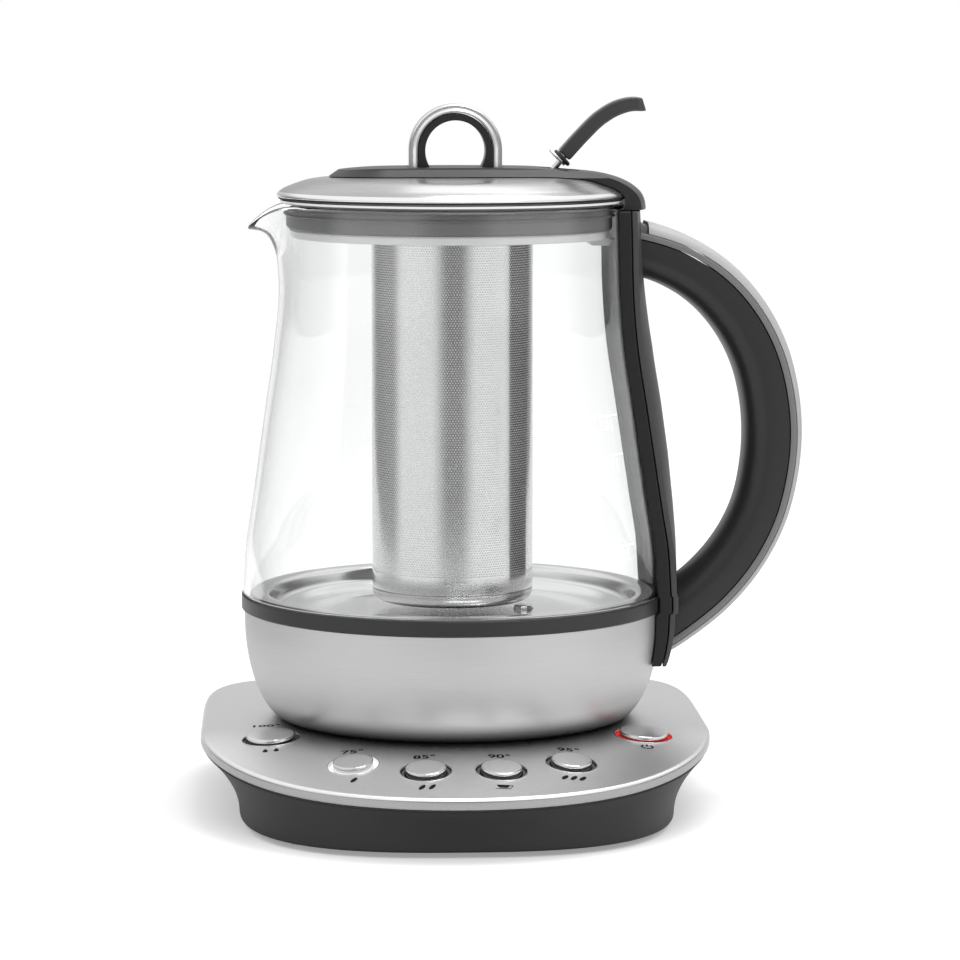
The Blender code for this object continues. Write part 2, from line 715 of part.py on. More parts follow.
def make_base_wall(parent):
    """The black wall under the lip, with four screw bosses and the cord gland's hole."""
    rings = [wall_ring(share, 0) for share in WALL_SHARES]
    rings += [wall_ring(share, WALL) for share in reversed(WALL_SHARES)]
    wall = lofted("base_wall", BLACK, parent, rings, closed=True)
    bottom = PAN_TOP_Z + GAP
    for number, (x, y) in enumerate(screw_points(), 1):
        middle = (x, y, bottom + BOSS_HEIGHT / 2)
        boss = drum(f"boss_{number}", None, parent, BOSS_RADIUS, BOSS_HEIGHT, middle, steps=SMALL_STEPS)
        combine(wall, boss, "UNION")
        bore = drum(
            f"boss_bore_{number}", None, parent, SCREW_RADIUS + GAP, BOSS_HEIGHT, (x, y, bottom),
            steps=SMALL_STEPS,
        )
        bore.location.z += SCREW_LENGTH - PAN_SHEET + GAP - BOSS_HEIGHT / 2
        combine(wall, bore)
    hole = drum(
        "gland_hole", None, parent, GLAND_NECK_RADIUS + GAP, 4 * OVERRUN + 2 * WALL,
        (0, WALL_FOOT_BACK, GLAND_Z), (math.pi / 2, 0, 0),
    )
    combine(wall, hole)


def make_base_pan(parent):
    """The bottom pan with posts for the boards and holes for feet and screws."""
    outline = foot_plan(WALL + GAP)
    rings = [np.column_stack([outline, np.full(len(outline), z)]) for z in (PAN_Z, PAN_TOP_Z)]
    pan = lofted("base_pan", BLACK, parent, rings)
    posts = []
    for angle in POST_ANGLES:
        turn = math.radians(angle)
        radius = BUTTON_CIRCLE - BOARD_HALF_BAND + POST_RADIUS
        posts.append((radius * math.sin(turn), BASE_CENTRE_Y - radius * math.cos(turn)))
    side = POWER_BOARD_SIZE[0] / 2 - 2 * POST_RADIUS
    posts += [(side, POWER_BOARD_Y), (-side, POWER_BOARD_Y)]
    for number, (x, y) in enumerate(posts, 1):
        height = BOARD_Z - GAP - PAN_Z
        middle = (x, y, PAN_Z + height / 2)
        post = drum(f"post_{number}", None, parent, POST_RADIUS, height, middle, steps=SMALL_STEPS)
        combine(pan, post, "UNION")
    for number, (x, y) in enumerate(screw_points(), 1):
        hole = drum(
            f"pan_hole_{number}", None, parent, SCREW_RADIUS + GAP, 4 * PAN_SHEET, (x, y, PAN_Z),
            steps=SMALL_STEPS,
        )
        combine(pan, hole)
    for number, (x, y) in enumerate(foot_points(), 1):
        hole = drum(
            f"foot_hole_{number}", None, parent, FOOT_STEM_RADIUS + GAP, 4 * PAN_SHEET, (x, y, PAN_Z),
            steps=SMALL_STEPS,
        )
        combine(pan, hole)


def foot_points():
    return [
        (-FOOT_X, FOOT_FRONT_Y), (FOOT_X, FOOT_FRONT_Y), (-FOOT_X, FOOT_BACK_Y), (FOOT_X, FOOT_BACK_Y),
    ]


def make_feet_and_screws(parent):
    """Four rubber feet pushed into the pan, and the four screws that hold the pan to the wall."""
    foot_top = PAN_Z - GAP
    profile = [
        (0, 0), (FOOT_RADIUS, 0), (FOOT_RADIUS, foot_top), (FOOT_STEM_RADIUS, foot_top),
        (FOOT_STEM_RADIUS, PAN_TOP_Z), (0, PAN_TOP_Z),
    ]
    for number, (x, y) in enumerate(foot_points(), 1):
        turned(f"foot_{number}", RUBBER, parent, profile, SMALL_STEPS, (x, y, 0))
    head_bottom = foot_top - SCREW_HEAD_HEIGHT
    profile = [
        (0, head_bottom), (SCREW_HEAD_RADIUS, head_bottom), (SCREW_HEAD_RADIUS, foot_top),
        (SCREW_RADIUS, foot_top), (SCREW_RADIUS, foot_top + SCREW_LENGTH), (0, foot_top + SCREW_LENGTH),
    ]
    for number, (x, y) in enumerate(screw_points(), 1):
        turned(f"pan_screw_{number}", ZINC, parent, profile, SMALL_STEPS, (x, y, 0))


def make_boards(parent):
    """The control board with its six switches, and the power board with relay and transformer."""
    centre = (0, BASE_CENTRE_Y)
    low, high = -90 - BOARD_HALF_ANGLE, -90 + BOARD_HALF_ANGLE
    inner = BUTTON_CIRCLE - BOARD_HALF_BAND
    outer = min(BUTTON_CIRCLE + BOARD_HALF_BAND, WALL_FOOT_HALF_WIDTH - WALL - 2 * BOARD_SHEET)
    outline = arc(centre, outer, low, high, MEDIUM_STEPS) + arc(centre, inner, high, low, SMALL_STEPS)
    middle = BOARD_Z + BOARD_SHEET / 2
    board = slab("control_board", BOARD, parent, outline, BOARD_SHEET / 2, (0, 0, middle))
    half = SWITCH_SIDE / 2
    for name, angle, large in BUTTONS:
        x, y = stem_foot(angle)
        low_corner = (x - half, y - half, BOARD_Z + BOARD_SHEET / 2)
        high_corner = (x + half, y + half, BOARD_TOP_Z + SWITCH_HEIGHT)
        combine(board, block(name + "_switch", None, parent, low_corner, high_corner), "UNION")
        height = PLUNGER_HEIGHT + SWITCH_HEIGHT / 2
        plunger = drum(
            name + "_plunger", None, parent, PLUNGER_RADIUS, height,
            (x, y, SWITCH_TOP_Z - height / 2), steps=SMALL_STEPS,
        )
        combine(board, plunger, "UNION")
    half_x, half_y = POWER_BOARD_SIZE[0] / 2, POWER_BOARD_SIZE[1] / 2
    power = block(
        "power_board", BOARD, parent,
        (-half_x, POWER_BOARD_Y - half_y, BOARD_Z), (half_x, POWER_BOARD_Y + half_y, BOARD_TOP_Z),
    )
    for name, size, side in (("relay", RELAY_SIZE, -1), ("transformer", TRANSFORMER_SIZE, 1)):
        x = side * half_x / 2
        low_corner = (x - size[0] / 2, POWER_BOARD_Y - size[1] / 2, BOARD_Z + BOARD_SHEET / 2)
        high_corner = (x + size[0] / 2, POWER_BOARD_Y + size[1] / 2, BOARD_TOP_Z + size[2])
        combine(power, block(name, None, parent, low_corner, high_corner), "UNION")


def make_base_connector(parent):
    """The round connector under the seat: its tower stands in the jug's socket."""
    top = SEAT_Z + TOWER_RISE
    flange_top = SEAT_Z - SHEET - GAP
    flange_bottom = flange_top - TOWER_FLANGE_SHEET
    body_bottom = flange_bottom - TOWER_BODY_DEPTH
    corner = arc((TOWER_RADIUS - TOWER_ROUND, top - TOWER_ROUND), TOWER_ROUND, 90, 0, 3)
    profile = [(0, top)] + corner + [
        (TOWER_RADIUS, flange_top), (TOWER_FLANGE_RADIUS, flange_top), (TOWER_FLANGE_RADIUS, flange_bottom),
        (TOWER_BODY_RADIUS, flange_bottom), (TOWER_BODY_RADIUS, body_bottom), (0, body_bottom),
    ]
    turned("base_connector", CONNECTOR, parent, profile, MEDIUM_STEPS)


def make_cord_gland(parent):
    """The gland in the back wall, with a bore for a cord."""
    seat = WALL_FOOT_BACK + GLAND_SEAT
    profile = [
        (GLAND_BORE_RADIUS, seat + GLAND_REACH), (GLAND_TIP_RADIUS, seat + GLAND_REACH),
        (GLAND_FLANGE_RADIUS, seat), (GLAND_NECK_RADIUS, seat),
        (GLAND_NECK_RADIUS, WALL_FOOT_BACK - WALL - GAP), (GLAND_FLANGE_RADIUS, WALL_FOOT_BACK - WALL - GAP),
        (GLAND_FLANGE_RADIUS, WALL_FOOT_BACK - WALL - GAP - GLAND_NUT_SHEET),
        (GLAND_BORE_RADIUS, WALL_FOOT_BACK - WALL - GAP - GLAND_NUT_SHEET),
    ]
    turned("cord_gland", BLACK, parent, profile, MEDIUM_STEPS, (0, 0, GLAND_Z), (-math.pi / 2, 0, 0))


def stem_foot(angle):
    """Where a button's stem meets its switch, in plan."""
    point, normal = button_place(angle)
    fall = point.z - SWITCH_TOP_Z
    return point.x - normal.x * fall / normal.z, point.y - normal.y * fall / normal.z


def make_buttons(parent):
    """Six sprung caps with stems, each in a lens ring that its lamp lights."""
    for name, angle, large in BUTTONS:
        point, normal = button_place(angle)
        cap = CAP_LARGE_RADIUS if large else CAP_SMALL_RADIUS
        well = WELL_LARGE_RADIUS if large else WELL_SMALL_RADIUS
        turn = normal.to_track_quat("Z", "Y").to_euler()
        axis = empty(name + "_axis", parent, point, turn)
        flange_top = -SHEET - CURVE_ALLOWANCE
        lens_bottom = flange_top - LENS_FLANGE_SHEET
        bore = cap + RUNNING_GAP
        lens = [
            (well - GAP, -LENS_SINK), (well - GAP, flange_top), (well + LENS_FLANGE, flange_top),
            (well + LENS_FLANGE, lens_bottom), (bore, lens_bottom), (bore, -LENS_SINK),
        ]
        turned(name.replace("button", "light_ring"), LENS, axis, lens, MEDIUM_STEPS)
        shoulder = lens_bottom - GAP
        reach = (point.z - SWITCH_TOP_Z - BUTTON_TRAVEL - GAP) / normal.z
        profile = [
            (0, CAP_STAND), (cap - 3 * CAP_EDGE, CAP_STAND - CAP_EDGE / 4),
            (cap - CAP_EDGE / 2, CAP_STAND - CAP_EDGE), (cap, CAP_STAND - 2 * CAP_EDGE), (cap, shoulder),
            (cap + CAP_FLANGE, shoulder), (cap + CAP_FLANGE, shoulder - CAP_FLANGE),
            (STEM_RADIUS, shoulder - CAP_FLANGE), (STEM_RADIUS, -reach), (0, -reach),
        ]
        turned(name, CHROME, axis, profile, MEDIUM_STEPS)


def bowl_line():
    return [(BOWL_RADIUS * r, JUG_FOOT_Z + BOWL_HEIGHT * z) for z, r in BOWL_SHARES]


def glass_line():
    return [(GLASS_RADIUS * r, GLASS_BOTTOM_Z + GLASS_HEIGHT * z) for z, r in GLASS_SHARES]


def jug_radius(height):
    """The jug's outer radius at a height: glass, band or bowl."""
    if height > BAND_TOP_Z + GAP:
        line = np.array(glass_line())
        return float(np.interp(height, line[:, 1], line[:, 0]))
    if height > BAND_BOTTOM_Z - GAP:
        return BAND_RADIUS
    line = np.array(bowl_line()[::-1])
    return float(np.interp(height, line[:, 1], line[:, 0]))


def make_jug_shells(parent):
    """The steel bowl, the ring band on it, and the seal that the glass stands on."""
    outer = bowl_line()
    inner = offset(outer, BOWL_SHEET)
    inner[0][1] = outer[0][1]
    inner[-1][0] = outer[-1][0]
    turned("bowl_shell", STEEL, parent, outer + [tuple(point) for point in inner[::-1]])
    shelf = PLATE_TOP_Z - PLATE_SHEET - GAP
    groove_outer = BAND_RADIUS - WALL / 3
    groove_inner = groove_outer - SEAL_WIDTH - 2 * GAP
    floor = BAND_TOP_Z - SEAL_SINK - GAP
    turned("ring_band", DARK, parent, [
        (BAND_RADIUS, BAND_TOP_Z), (BAND_RADIUS, BAND_BOTTOM_Z), (BAND_INNER_RADIUS, BAND_BOTTOM_Z),
        (BAND_INNER_RADIUS, shelf), (groove_inner, shelf), (groove_inner, floor),
        (groove_outer, floor), (groove_outer, BAND_TOP_Z),
    ])
    seal_inner, seal_outer = groove_inner + GAP, groove_outer - GAP
    turned("glass_seal", SILICONE, parent, [
        (seal_outer, SEAL_TOP_Z), (seal_outer, SEAL_TOP_Z - SEAL_HEIGHT),
        (seal_inner, SEAL_TOP_Z - SEAL_HEIGHT), (seal_inner, SEAL_TOP_Z),
    ])


def make_glass(parent):
    """The glass body: a turned wall whose rim is drawn out and down into a spout at -X."""
    half = math.radians(SPOUT_HALF_ANGLE)
    angles = np.concatenate([
        np.linspace(-math.pi + half, math.pi - half, GLASS_STEPS, endpoint=False),
        np.linspace(math.pi - half, math.pi + half, SPOUT_STEPS, endpoint=False),
    ])
    away = np.abs(np.angle(np.exp(1j * (angles - math.pi))))
    pull = np.cos(math.pi / 2 * np.clip(away / half, 0, 1)) ** 2
    plain = np.array(GLASS_SHARES)
    spout = plain.copy()
    spout[-len(SPOUT_SHARES):] = SPOUT_SHARES
    mixed = plain[:, None, :] + (spout - plain)[:, None, :] * pull[None, :, None]
    height = GLASS_BOTTOM_Z + GLASS_HEIGHT * mixed[..., 0]
    radius = GLASS_RADIUS * mixed[..., 1]
    along_radius, along_height = np.gradient(radius, axis=0), np.gradient(height, axis=0)
    length = np.hypot(along_radius, along_height)
    inner_radius = radius - GLASS_WALL * along_height / length
    inner_height = height + GLASS_WALL * along_radius / length
    inner_height[0] = height[0]

    def ring(r, z):
        return np.column_stack([r * np.cos(angles), r * np.sin(angles), z])

    rings = [ring(r, z) for r, z in zip(radius, height)]
    rings += [ring(r, z) for r, z in zip(inner_radius[::-1], inner_height[::-1])]
    lofted("glass_body", GLASS, parent, rings, closed=True)


def make_heater(parent):
    """The pressed heater plate with spreader, element and sensor under it."""
    top = [(PLATE_RADIUS * r, FLOOR_Z + PLATE_DEPTH * z) for r, z in PRESSING_SHARES]
    under = offset(top, PLATE_SHEET)
    under[0][0] = 0
    under[-1][0] = PLATE_RADIUS
    plate = turned("heater_plate", STEEL, parent, top + [tuple(point) for point in under[::-1]])
    place = (SENSOR_X, SENSOR_Y, 0)
    hole = drum(
        "sensor_hole", None, parent, SENSOR_RADIUS + GAP, 4 * SPREADER_SHEET,
        (SENSOR_X, SENSOR_Y, FLOOR_Z - SPREADER_SHEET), steps=SMALL_STEPS,
    )
    combine(plate, hole)
    spreader_top = FLOOR_Z - PLATE_SHEET - GAP
    spreader_bottom = spreader_top - SPREADER_SHEET
    spreader = turned("heat_spreader", ALUMINIUM, parent, [
        (0, spreader_top), (SPREADER_RADIUS, spreader_top), (SPREADER_RADIUS, spreader_bottom),
        (0, spreader_bottom),
    ])
    combine(spreader, hole)
    tip = FLOOR_Z + SENSOR_STAND
    round_tip = arc((SENSOR_RADIUS - SENSOR_STAND / 2, tip - SENSOR_STAND / 2), SENSOR_STAND / 2, 90, 0, 3)
    flange_top = spreader_bottom - GAP
    turned("temperature_sensor", STEEL, parent, [(0, tip)] + round_tip + [
        (SENSOR_RADIUS, flange_top), (SENSOR_FLANGE_RADIUS, flange_top),
        (SENSOR_FLANGE_RADIUS, flange_top - SENSOR_FLANGE_SHEET),
        (SENSOR_RADIUS, flange_top - SENSOR_FLANGE_SHEET), (SENSOR_RADIUS, tip - SENSOR_DEPTH),
        (0, tip - SENSOR_DEPTH),
    ], SMALL_STEPS, place)
    height = spreader_bottom - GAP - ELEMENT_WIRE
    turns = np.radians(np.linspace(90 + ELEMENT_HALF_GAP, 450 - ELEMENT_HALF_GAP, ELEMENT_POINTS))
    ring = [(ELEMENT_RADIUS * math.cos(a), ELEMENT_RADIUS * math.sin(a), height) for a in turns]
    start, end = ring[0], ring[-1]
    path = [(start[0], start[1], height - ELEMENT_DROP)] + ring + [(end[0], end[1], height - ELEMENT_DROP)]
    wire("heating_element", ALUMINIUM, parent, path, ELEMENT_WIRE)


def make_jug_bottom(parent):
    """The bottom cover inside the bowl's foot, and the socket that meets the base's tower."""
    line = np.array(bowl_line()[::-1])
    low = JUG_FOOT_Z + BOWL_SHEET + GAP
    reach = float(np.interp(low, line[1:, 1], line[1:, 0])) - BOWL_SHEET - COVER_CLEARANCE
    bore = TOWER_RADIUS + SOCKET_CLEARANCE
    outer = bore + SOCKET_WALL
    turned("jug_bottom_cover", BLACK, parent, [
        (reach, low + COVER_SHEET), (reach, low), (outer + GAP, low), (outer + GAP, low + COVER_SHEET),
    ])
    flange_bottom = low + COVER_SHEET + GAP
    flange_top = flange_bottom + SOCKET_FLANGE_SHEET
    ceiling = SEAT_Z + TOWER_RISE + SOCKET_CLEARANCE
    top = ceiling + SOCKET_TOP
    turned("jug_connector", CONNECTOR, parent, [
        (0, top), (outer, top), (outer, flange_top), (outer + SOCKET_FLANGE, flange_top),
        (outer + SOCKET_FLANGE, flange_bottom), (outer, flange_bottom), (outer, low), (bore, low),
        (bore, ceiling), (0, ceiling),
    ], MEDIUM_STEPS)


def spine_stations():
    """Heights up the spine, each with its shares of depth and of side."""
    low_span = BAND_BOTTOM_Z - GAP - GAP - SPINE_BOTTOM_Z
    high_span = SPINE_TOP_Z - BAND_TOP_Z
    stations = [(SPINE_BOTTOM_Z + low_span * z, depth, side) for z, depth, side in SPINE_LOW_SHARES]
    stations.append((SPINE_BOTTOM_Z + low_span - GAP, *SPINE_BAND_SHARES))
    stations.append((BAND_BOTTOM_Z - GAP / 2, *SPINE_BAND_SHARES))
    stations.append((BAND_TOP_Z + GAP, *SPINE_BAND_SHARES))
    stations += [(BAND_TOP_Z + high_span * z, depth, side) for z, depth, side in SPINE_HIGH_SHARES]
    return stations


def spine_faces(height, depth_share, side_share):
    """Three lines across the spine at a height: on the glass, at the seam and outside."""
    radius = jug_radius(height)
    inner = radius + SPINE_CLEARANCE
    half = math.degrees(math.asin(SPINE_HALF_WIDTH / inner))
    glass = arc((0, 0), inner, -half, half, 7)
    edge = glass[0][0]
    across = np.linspace(1, -1, 7)
    bulge = 1 - across**2
    seam_side = edge + SPINE_SIDE * side_share
    depth = SPINE_DEPTH * depth_share
    seam_middle = inner + SEAM_SHARE * (depth - SPINE_CLEARANCE)
    outer_side = seam_side + SPINE_COVER_SIDE * side_share
    outer_middle = radius + depth
    seam = np.column_stack([seam_side + (seam_middle - seam_side) * bulge, SPINE_HALF_WIDTH * across])
    outer = np.column_stack([outer_side + (outer_middle - outer_side) * bulge, SPINE_HALF_WIDTH * across])
    return np.array(glass), seam, outer


def make_spine(parent):
    """The spine behind the glass: an inner shell on the glass and a cover that carries the handle."""
    inner_rings, cover_rings = [], []
    for height, depth_share, side_share in spine_stations():
        glass, seam, outer = spine_faces(height, depth_share, side_share)
        level = np.full(len(glass) + len(seam), height)
        inner_rings.append(np.column_stack([np.vstack([glass, seam]), level]))
        lifted = seam[::-1] + np.array([GAP, 0])
        cover_rings.append(np.column_stack([np.vstack([lifted, outer]), level]))
    lofted("spine_inner", DARK, parent, inner_rings)
    cover = lofted("spine_cover", DARK, parent, cover_rings)
    rings = []
    for ring in cover_rings:
        front = ring[: len(ring) // 2] - np.array([SPINE_CUT_DEPTH, 0, 0])
        rings.append(np.vstack([front, ring[len(ring) // 2 :] + np.array([GAP, 0, 0])]))
    low, high = rings[0] - np.array([0, 0, OVERRUN]), rings[-1] + np.array([0, 0, OVERRUN])
    cutter = lofted("spine_clearance", None, parent, [low] + rings[1:-1] + [high])
    return cover, cutter


def handle_line(inner_offset):
    """A handle boundary: (x, z) at stations from the top end to the bottom end, each end at its own x."""
    angles = np.radians(np.linspace(HANDLE_ANGLES[0], HANDLE_ANGLES[-1], 200))
    shares = np.interp(-angles, -np.radians(HANDLE_ANGLES), HANDLE_RADIUS_SHARES)
    span = np.linspace(0, 1, len(angles))
    radius = HANDLE_RADIUS * shares - inner_offset(span)
    x = HANDLE_X + radius * np.cos(angles)
    z = HANDLE_Z + radius * np.sin(angles)
    half = len(angles) // 2
    top = np.interp(HANDLE_TOP_X, x[:half], span[:half])
    bottom = np.interp(-HANDLE_BOTTOM_X, -x[half:], span[half:])
    stations = np.linspace(top, bottom, HANDLE_STATIONS)
    return np.column_stack([np.interp(stations, span, x), np.interp(stations, span, z)])


def depth_along(depth, shares):
    """A depth that changes along the handle, from shares spread evenly from its top to its bottom."""
    places = np.linspace(0.05, 0.95, len(shares))
    return lambda span: depth * np.interp(span, places, shares)


def handle_rings(outer, inner, section):
    """Rings of a handle layer between two boundaries; the section gives depth and width shares."""
    rings = []
    for (x1, z1), (x2, z2) in zip(outer, inner):
        side = [(d, w) for d, w in section]
        ring = [(x1 + (x2 - x1) * d, HANDLE_HALF_WIDTH * w, z1 + (z2 - z1) * d) for d, w in side]
        ring += [(x, -y, z) for x, y, z in reversed(ring)]
        rings.append(ring)
    return rings


def make_handle(parent, cover, clearance):
    """The C-shaped handle in three layers, held by two screws from inside the spine's cover."""
    trim_depth = depth_along(TRIM_DEPTH, TRIM_DEPTH_SHARES)
    grip_depth = depth_along(GRIP_DEPTH, GRIP_DEPTH_SHARES)
    trim_outer = handle_line(lambda span: 0 * span)
    trim_inner = handle_line(lambda span: trim_depth(span) - GAP)
    strip_outer = handle_line(trim_depth)
    strip_inner = handle_line(lambda span: trim_depth(span) + STRIP_DEPTH)
    grip_outer = handle_line(lambda span: trim_depth(span) + STRIP_DEPTH + GAP)
    grip_inner = handle_line(lambda span: trim_depth(span) + STRIP_DEPTH + grip_depth(span))
    trim = handle_rings(trim_outer, trim_inner, TRIM_SECTION_SHARES)
    combine(lofted("handle_trim", SILVER, parent, trim), clearance)
    strip = handle_rings(strip_outer, strip_inner, STRIP_SECTION_SHARES)
    combine(lofted("handle_strip", GREY, parent, strip), clearance)
    grip = lofted("handle_grip", DARK, parent, handle_rings(grip_outer, grip_inner, GRIP_SECTION_SHARES))
    combine(grip, clearance)
    stations = np.array(spine_stations())
    for name, share in zip(("upper", "lower"), HANDLE_SCREW_SHARES):
        height = HANDLE_Z + HANDLE_RADIUS * share
        shares = [np.interp(height, stations[:, 0], stations[:, column]) for column in (1, 2)]
        seam = spine_faces(height, *shares)[1]
        start = max(seam[:, 0]) + 2 * GAP
        place = (start, 0, height)
        profile = [
            (0, 0), (HANDLE_SCREW_HEAD_RADIUS, 0), (HANDLE_SCREW_HEAD_RADIUS, HANDLE_SCREW_HEAD_HEIGHT),
            (SCREW_RADIUS, HANDLE_SCREW_HEAD_HEIGHT), (SCREW_RADIUS, HANDLE_SCREW_LENGTH),
            (0, HANDLE_SCREW_LENGTH),
        ]
        turned(f"handle_screw_{name}", ZINC, parent, profile, SMALL_STEPS, place, (0, math.pi / 2, 0))
        wide, slim = HANDLE_SCREW_HEAD_RADIUS + GAP, SCREW_RADIUS + GAP
        hollow = [
            (0, -OVERRUN), (wide, -OVERRUN), (wide, HANDLE_SCREW_HEAD_HEIGHT + GAP),
            (slim, HANDLE_SCREW_HEAD_HEIGHT + GAP), (slim, HANDLE_SCREW_LENGTH + GAP),
            (0, HANDLE_SCREW_LENGTH + GAP),
        ]
        cutter = turned(
            f"handle_screw_{name}_hole", None, parent, hollow, SMALL_STEPS, place, (0, math.pi / 2, 0)
        )
        combine(cover, cutter)
        combine(grip, cutter)


def dome_line():
    return [(DOME_RADIUS * r, DOME_RIM_Z + DOME_HEIGHT * z) for r, z in DOME_SHARES]


def bar_ring(inset, height):
    """The cap's plan at a height: a bar with a round left end that runs out past the spine."""
    half = CAP_HALF_WIDTH - inset
    centre = (CAP_HALF_WIDTH - CAP_REACH, 0)
    right = BRIDGE_REACH + OVERRUN
    flat = [(right, half)] + arc(centre, half, 90, 270, LOOP_POINTS) + [(right, -half)]
    return [(x, y, height) for x, y in flat]


def make_lid_shells(parent):
    """The steel dome, and the bar-shaped cap on it that reaches down to the spine in a bridge."""
    hole = (BOSS_HUB_RADIUS + GAP, DOME_TOP_Z)
    outer = [hole] + dome_line()
    inner = offset(outer, DOME_SHEET)
    inner[0][0] = hole[0]
    inner[-1][1] = DOME_RIM_Z
    dome = turned("lid_dome", STEEL, parent, outer + [tuple(point) for point in inner[::-1]])
    rise = CAP_TOP_Z - BRIDGE_BOTTOM_Z
    upper = [(BRIDGE_REACH * x, BRIDGE_BOTTOM_Z + rise * z) for x, z in BRIDGE_SHARES]
    foot = DOME_RADIUS + 2 * GAP
    lower = [tuple(point) for point in offset(dome_line(), -GAP)][:-1]
    cap = turned(
        "lid_cap", DARK, parent,
        upper + [(foot, BRIDGE_BOTTOM_Z), (foot, DOME_RIM_Z)] + lower[::-1] + [(0, CAP_BOTTOM_Z)],
    )
    shoulder = CAP_TOP_Z - CAP_SHEET
    rings = [
        bar_ring(0, BRIDGE_BOTTOM_Z - OVERRUN), bar_ring(0, shoulder),
        bar_ring(CAP_SLOPE, CAP_TOP_Z), bar_ring(CAP_SLOPE, CAP_TOP_Z + OVERRUN),
    ]
    combine(cap, lofted("cap_bar", None, parent, rings), "INTERSECT")
    slot = block(
        "lever_slot", None, parent,
        (LEVER_PIN_X - EAR_SHEET / 3, -ROD_RADIUS - 2 * GAP, PLUG_TOP_Z + EAR_INNER),
        (LEVER_PIN_X + ROD_COLLAR_REACH + EAR_INNER, ROD_RADIUS + 2 * GAP, CAP_TOP_Z + OVERRUN),
    )
    combine(cap, slot)
    combine(dome, slot)
    half = RUBBER_RADIUS + GAP
    recess = block(
        "lever_recess", None, parent,
        (LEVER_PIN_X + RECESS_START, -half, CAP_TOP_Z - RECESS_DEPTH),
        (LEVER_PIN_X + RECESS_END, half, CAP_TOP_Z + OVERRUN),
    )
    combine(cap, recess)
    leg = LOOP_RADIUS - LOOP_BAND / 2
    for side, sign in (("left", -1), ("right", 1)):
        x = LOOP_X + sign * leg
        half = LOOP_BAND / 2 + GAP
        pocket = block(
            f"loop_pocket_{side}", None, parent,
            (x - half, -LOOP_BAND_HALF_WIDTH - GAP, CAP_TOP_Z - LOOP_SINK - GAP),
            (x + half, LOOP_BAND_HALF_WIDTH + GAP, CAP_TOP_Z + OVERRUN),
        )
        combine(cap, pocket)


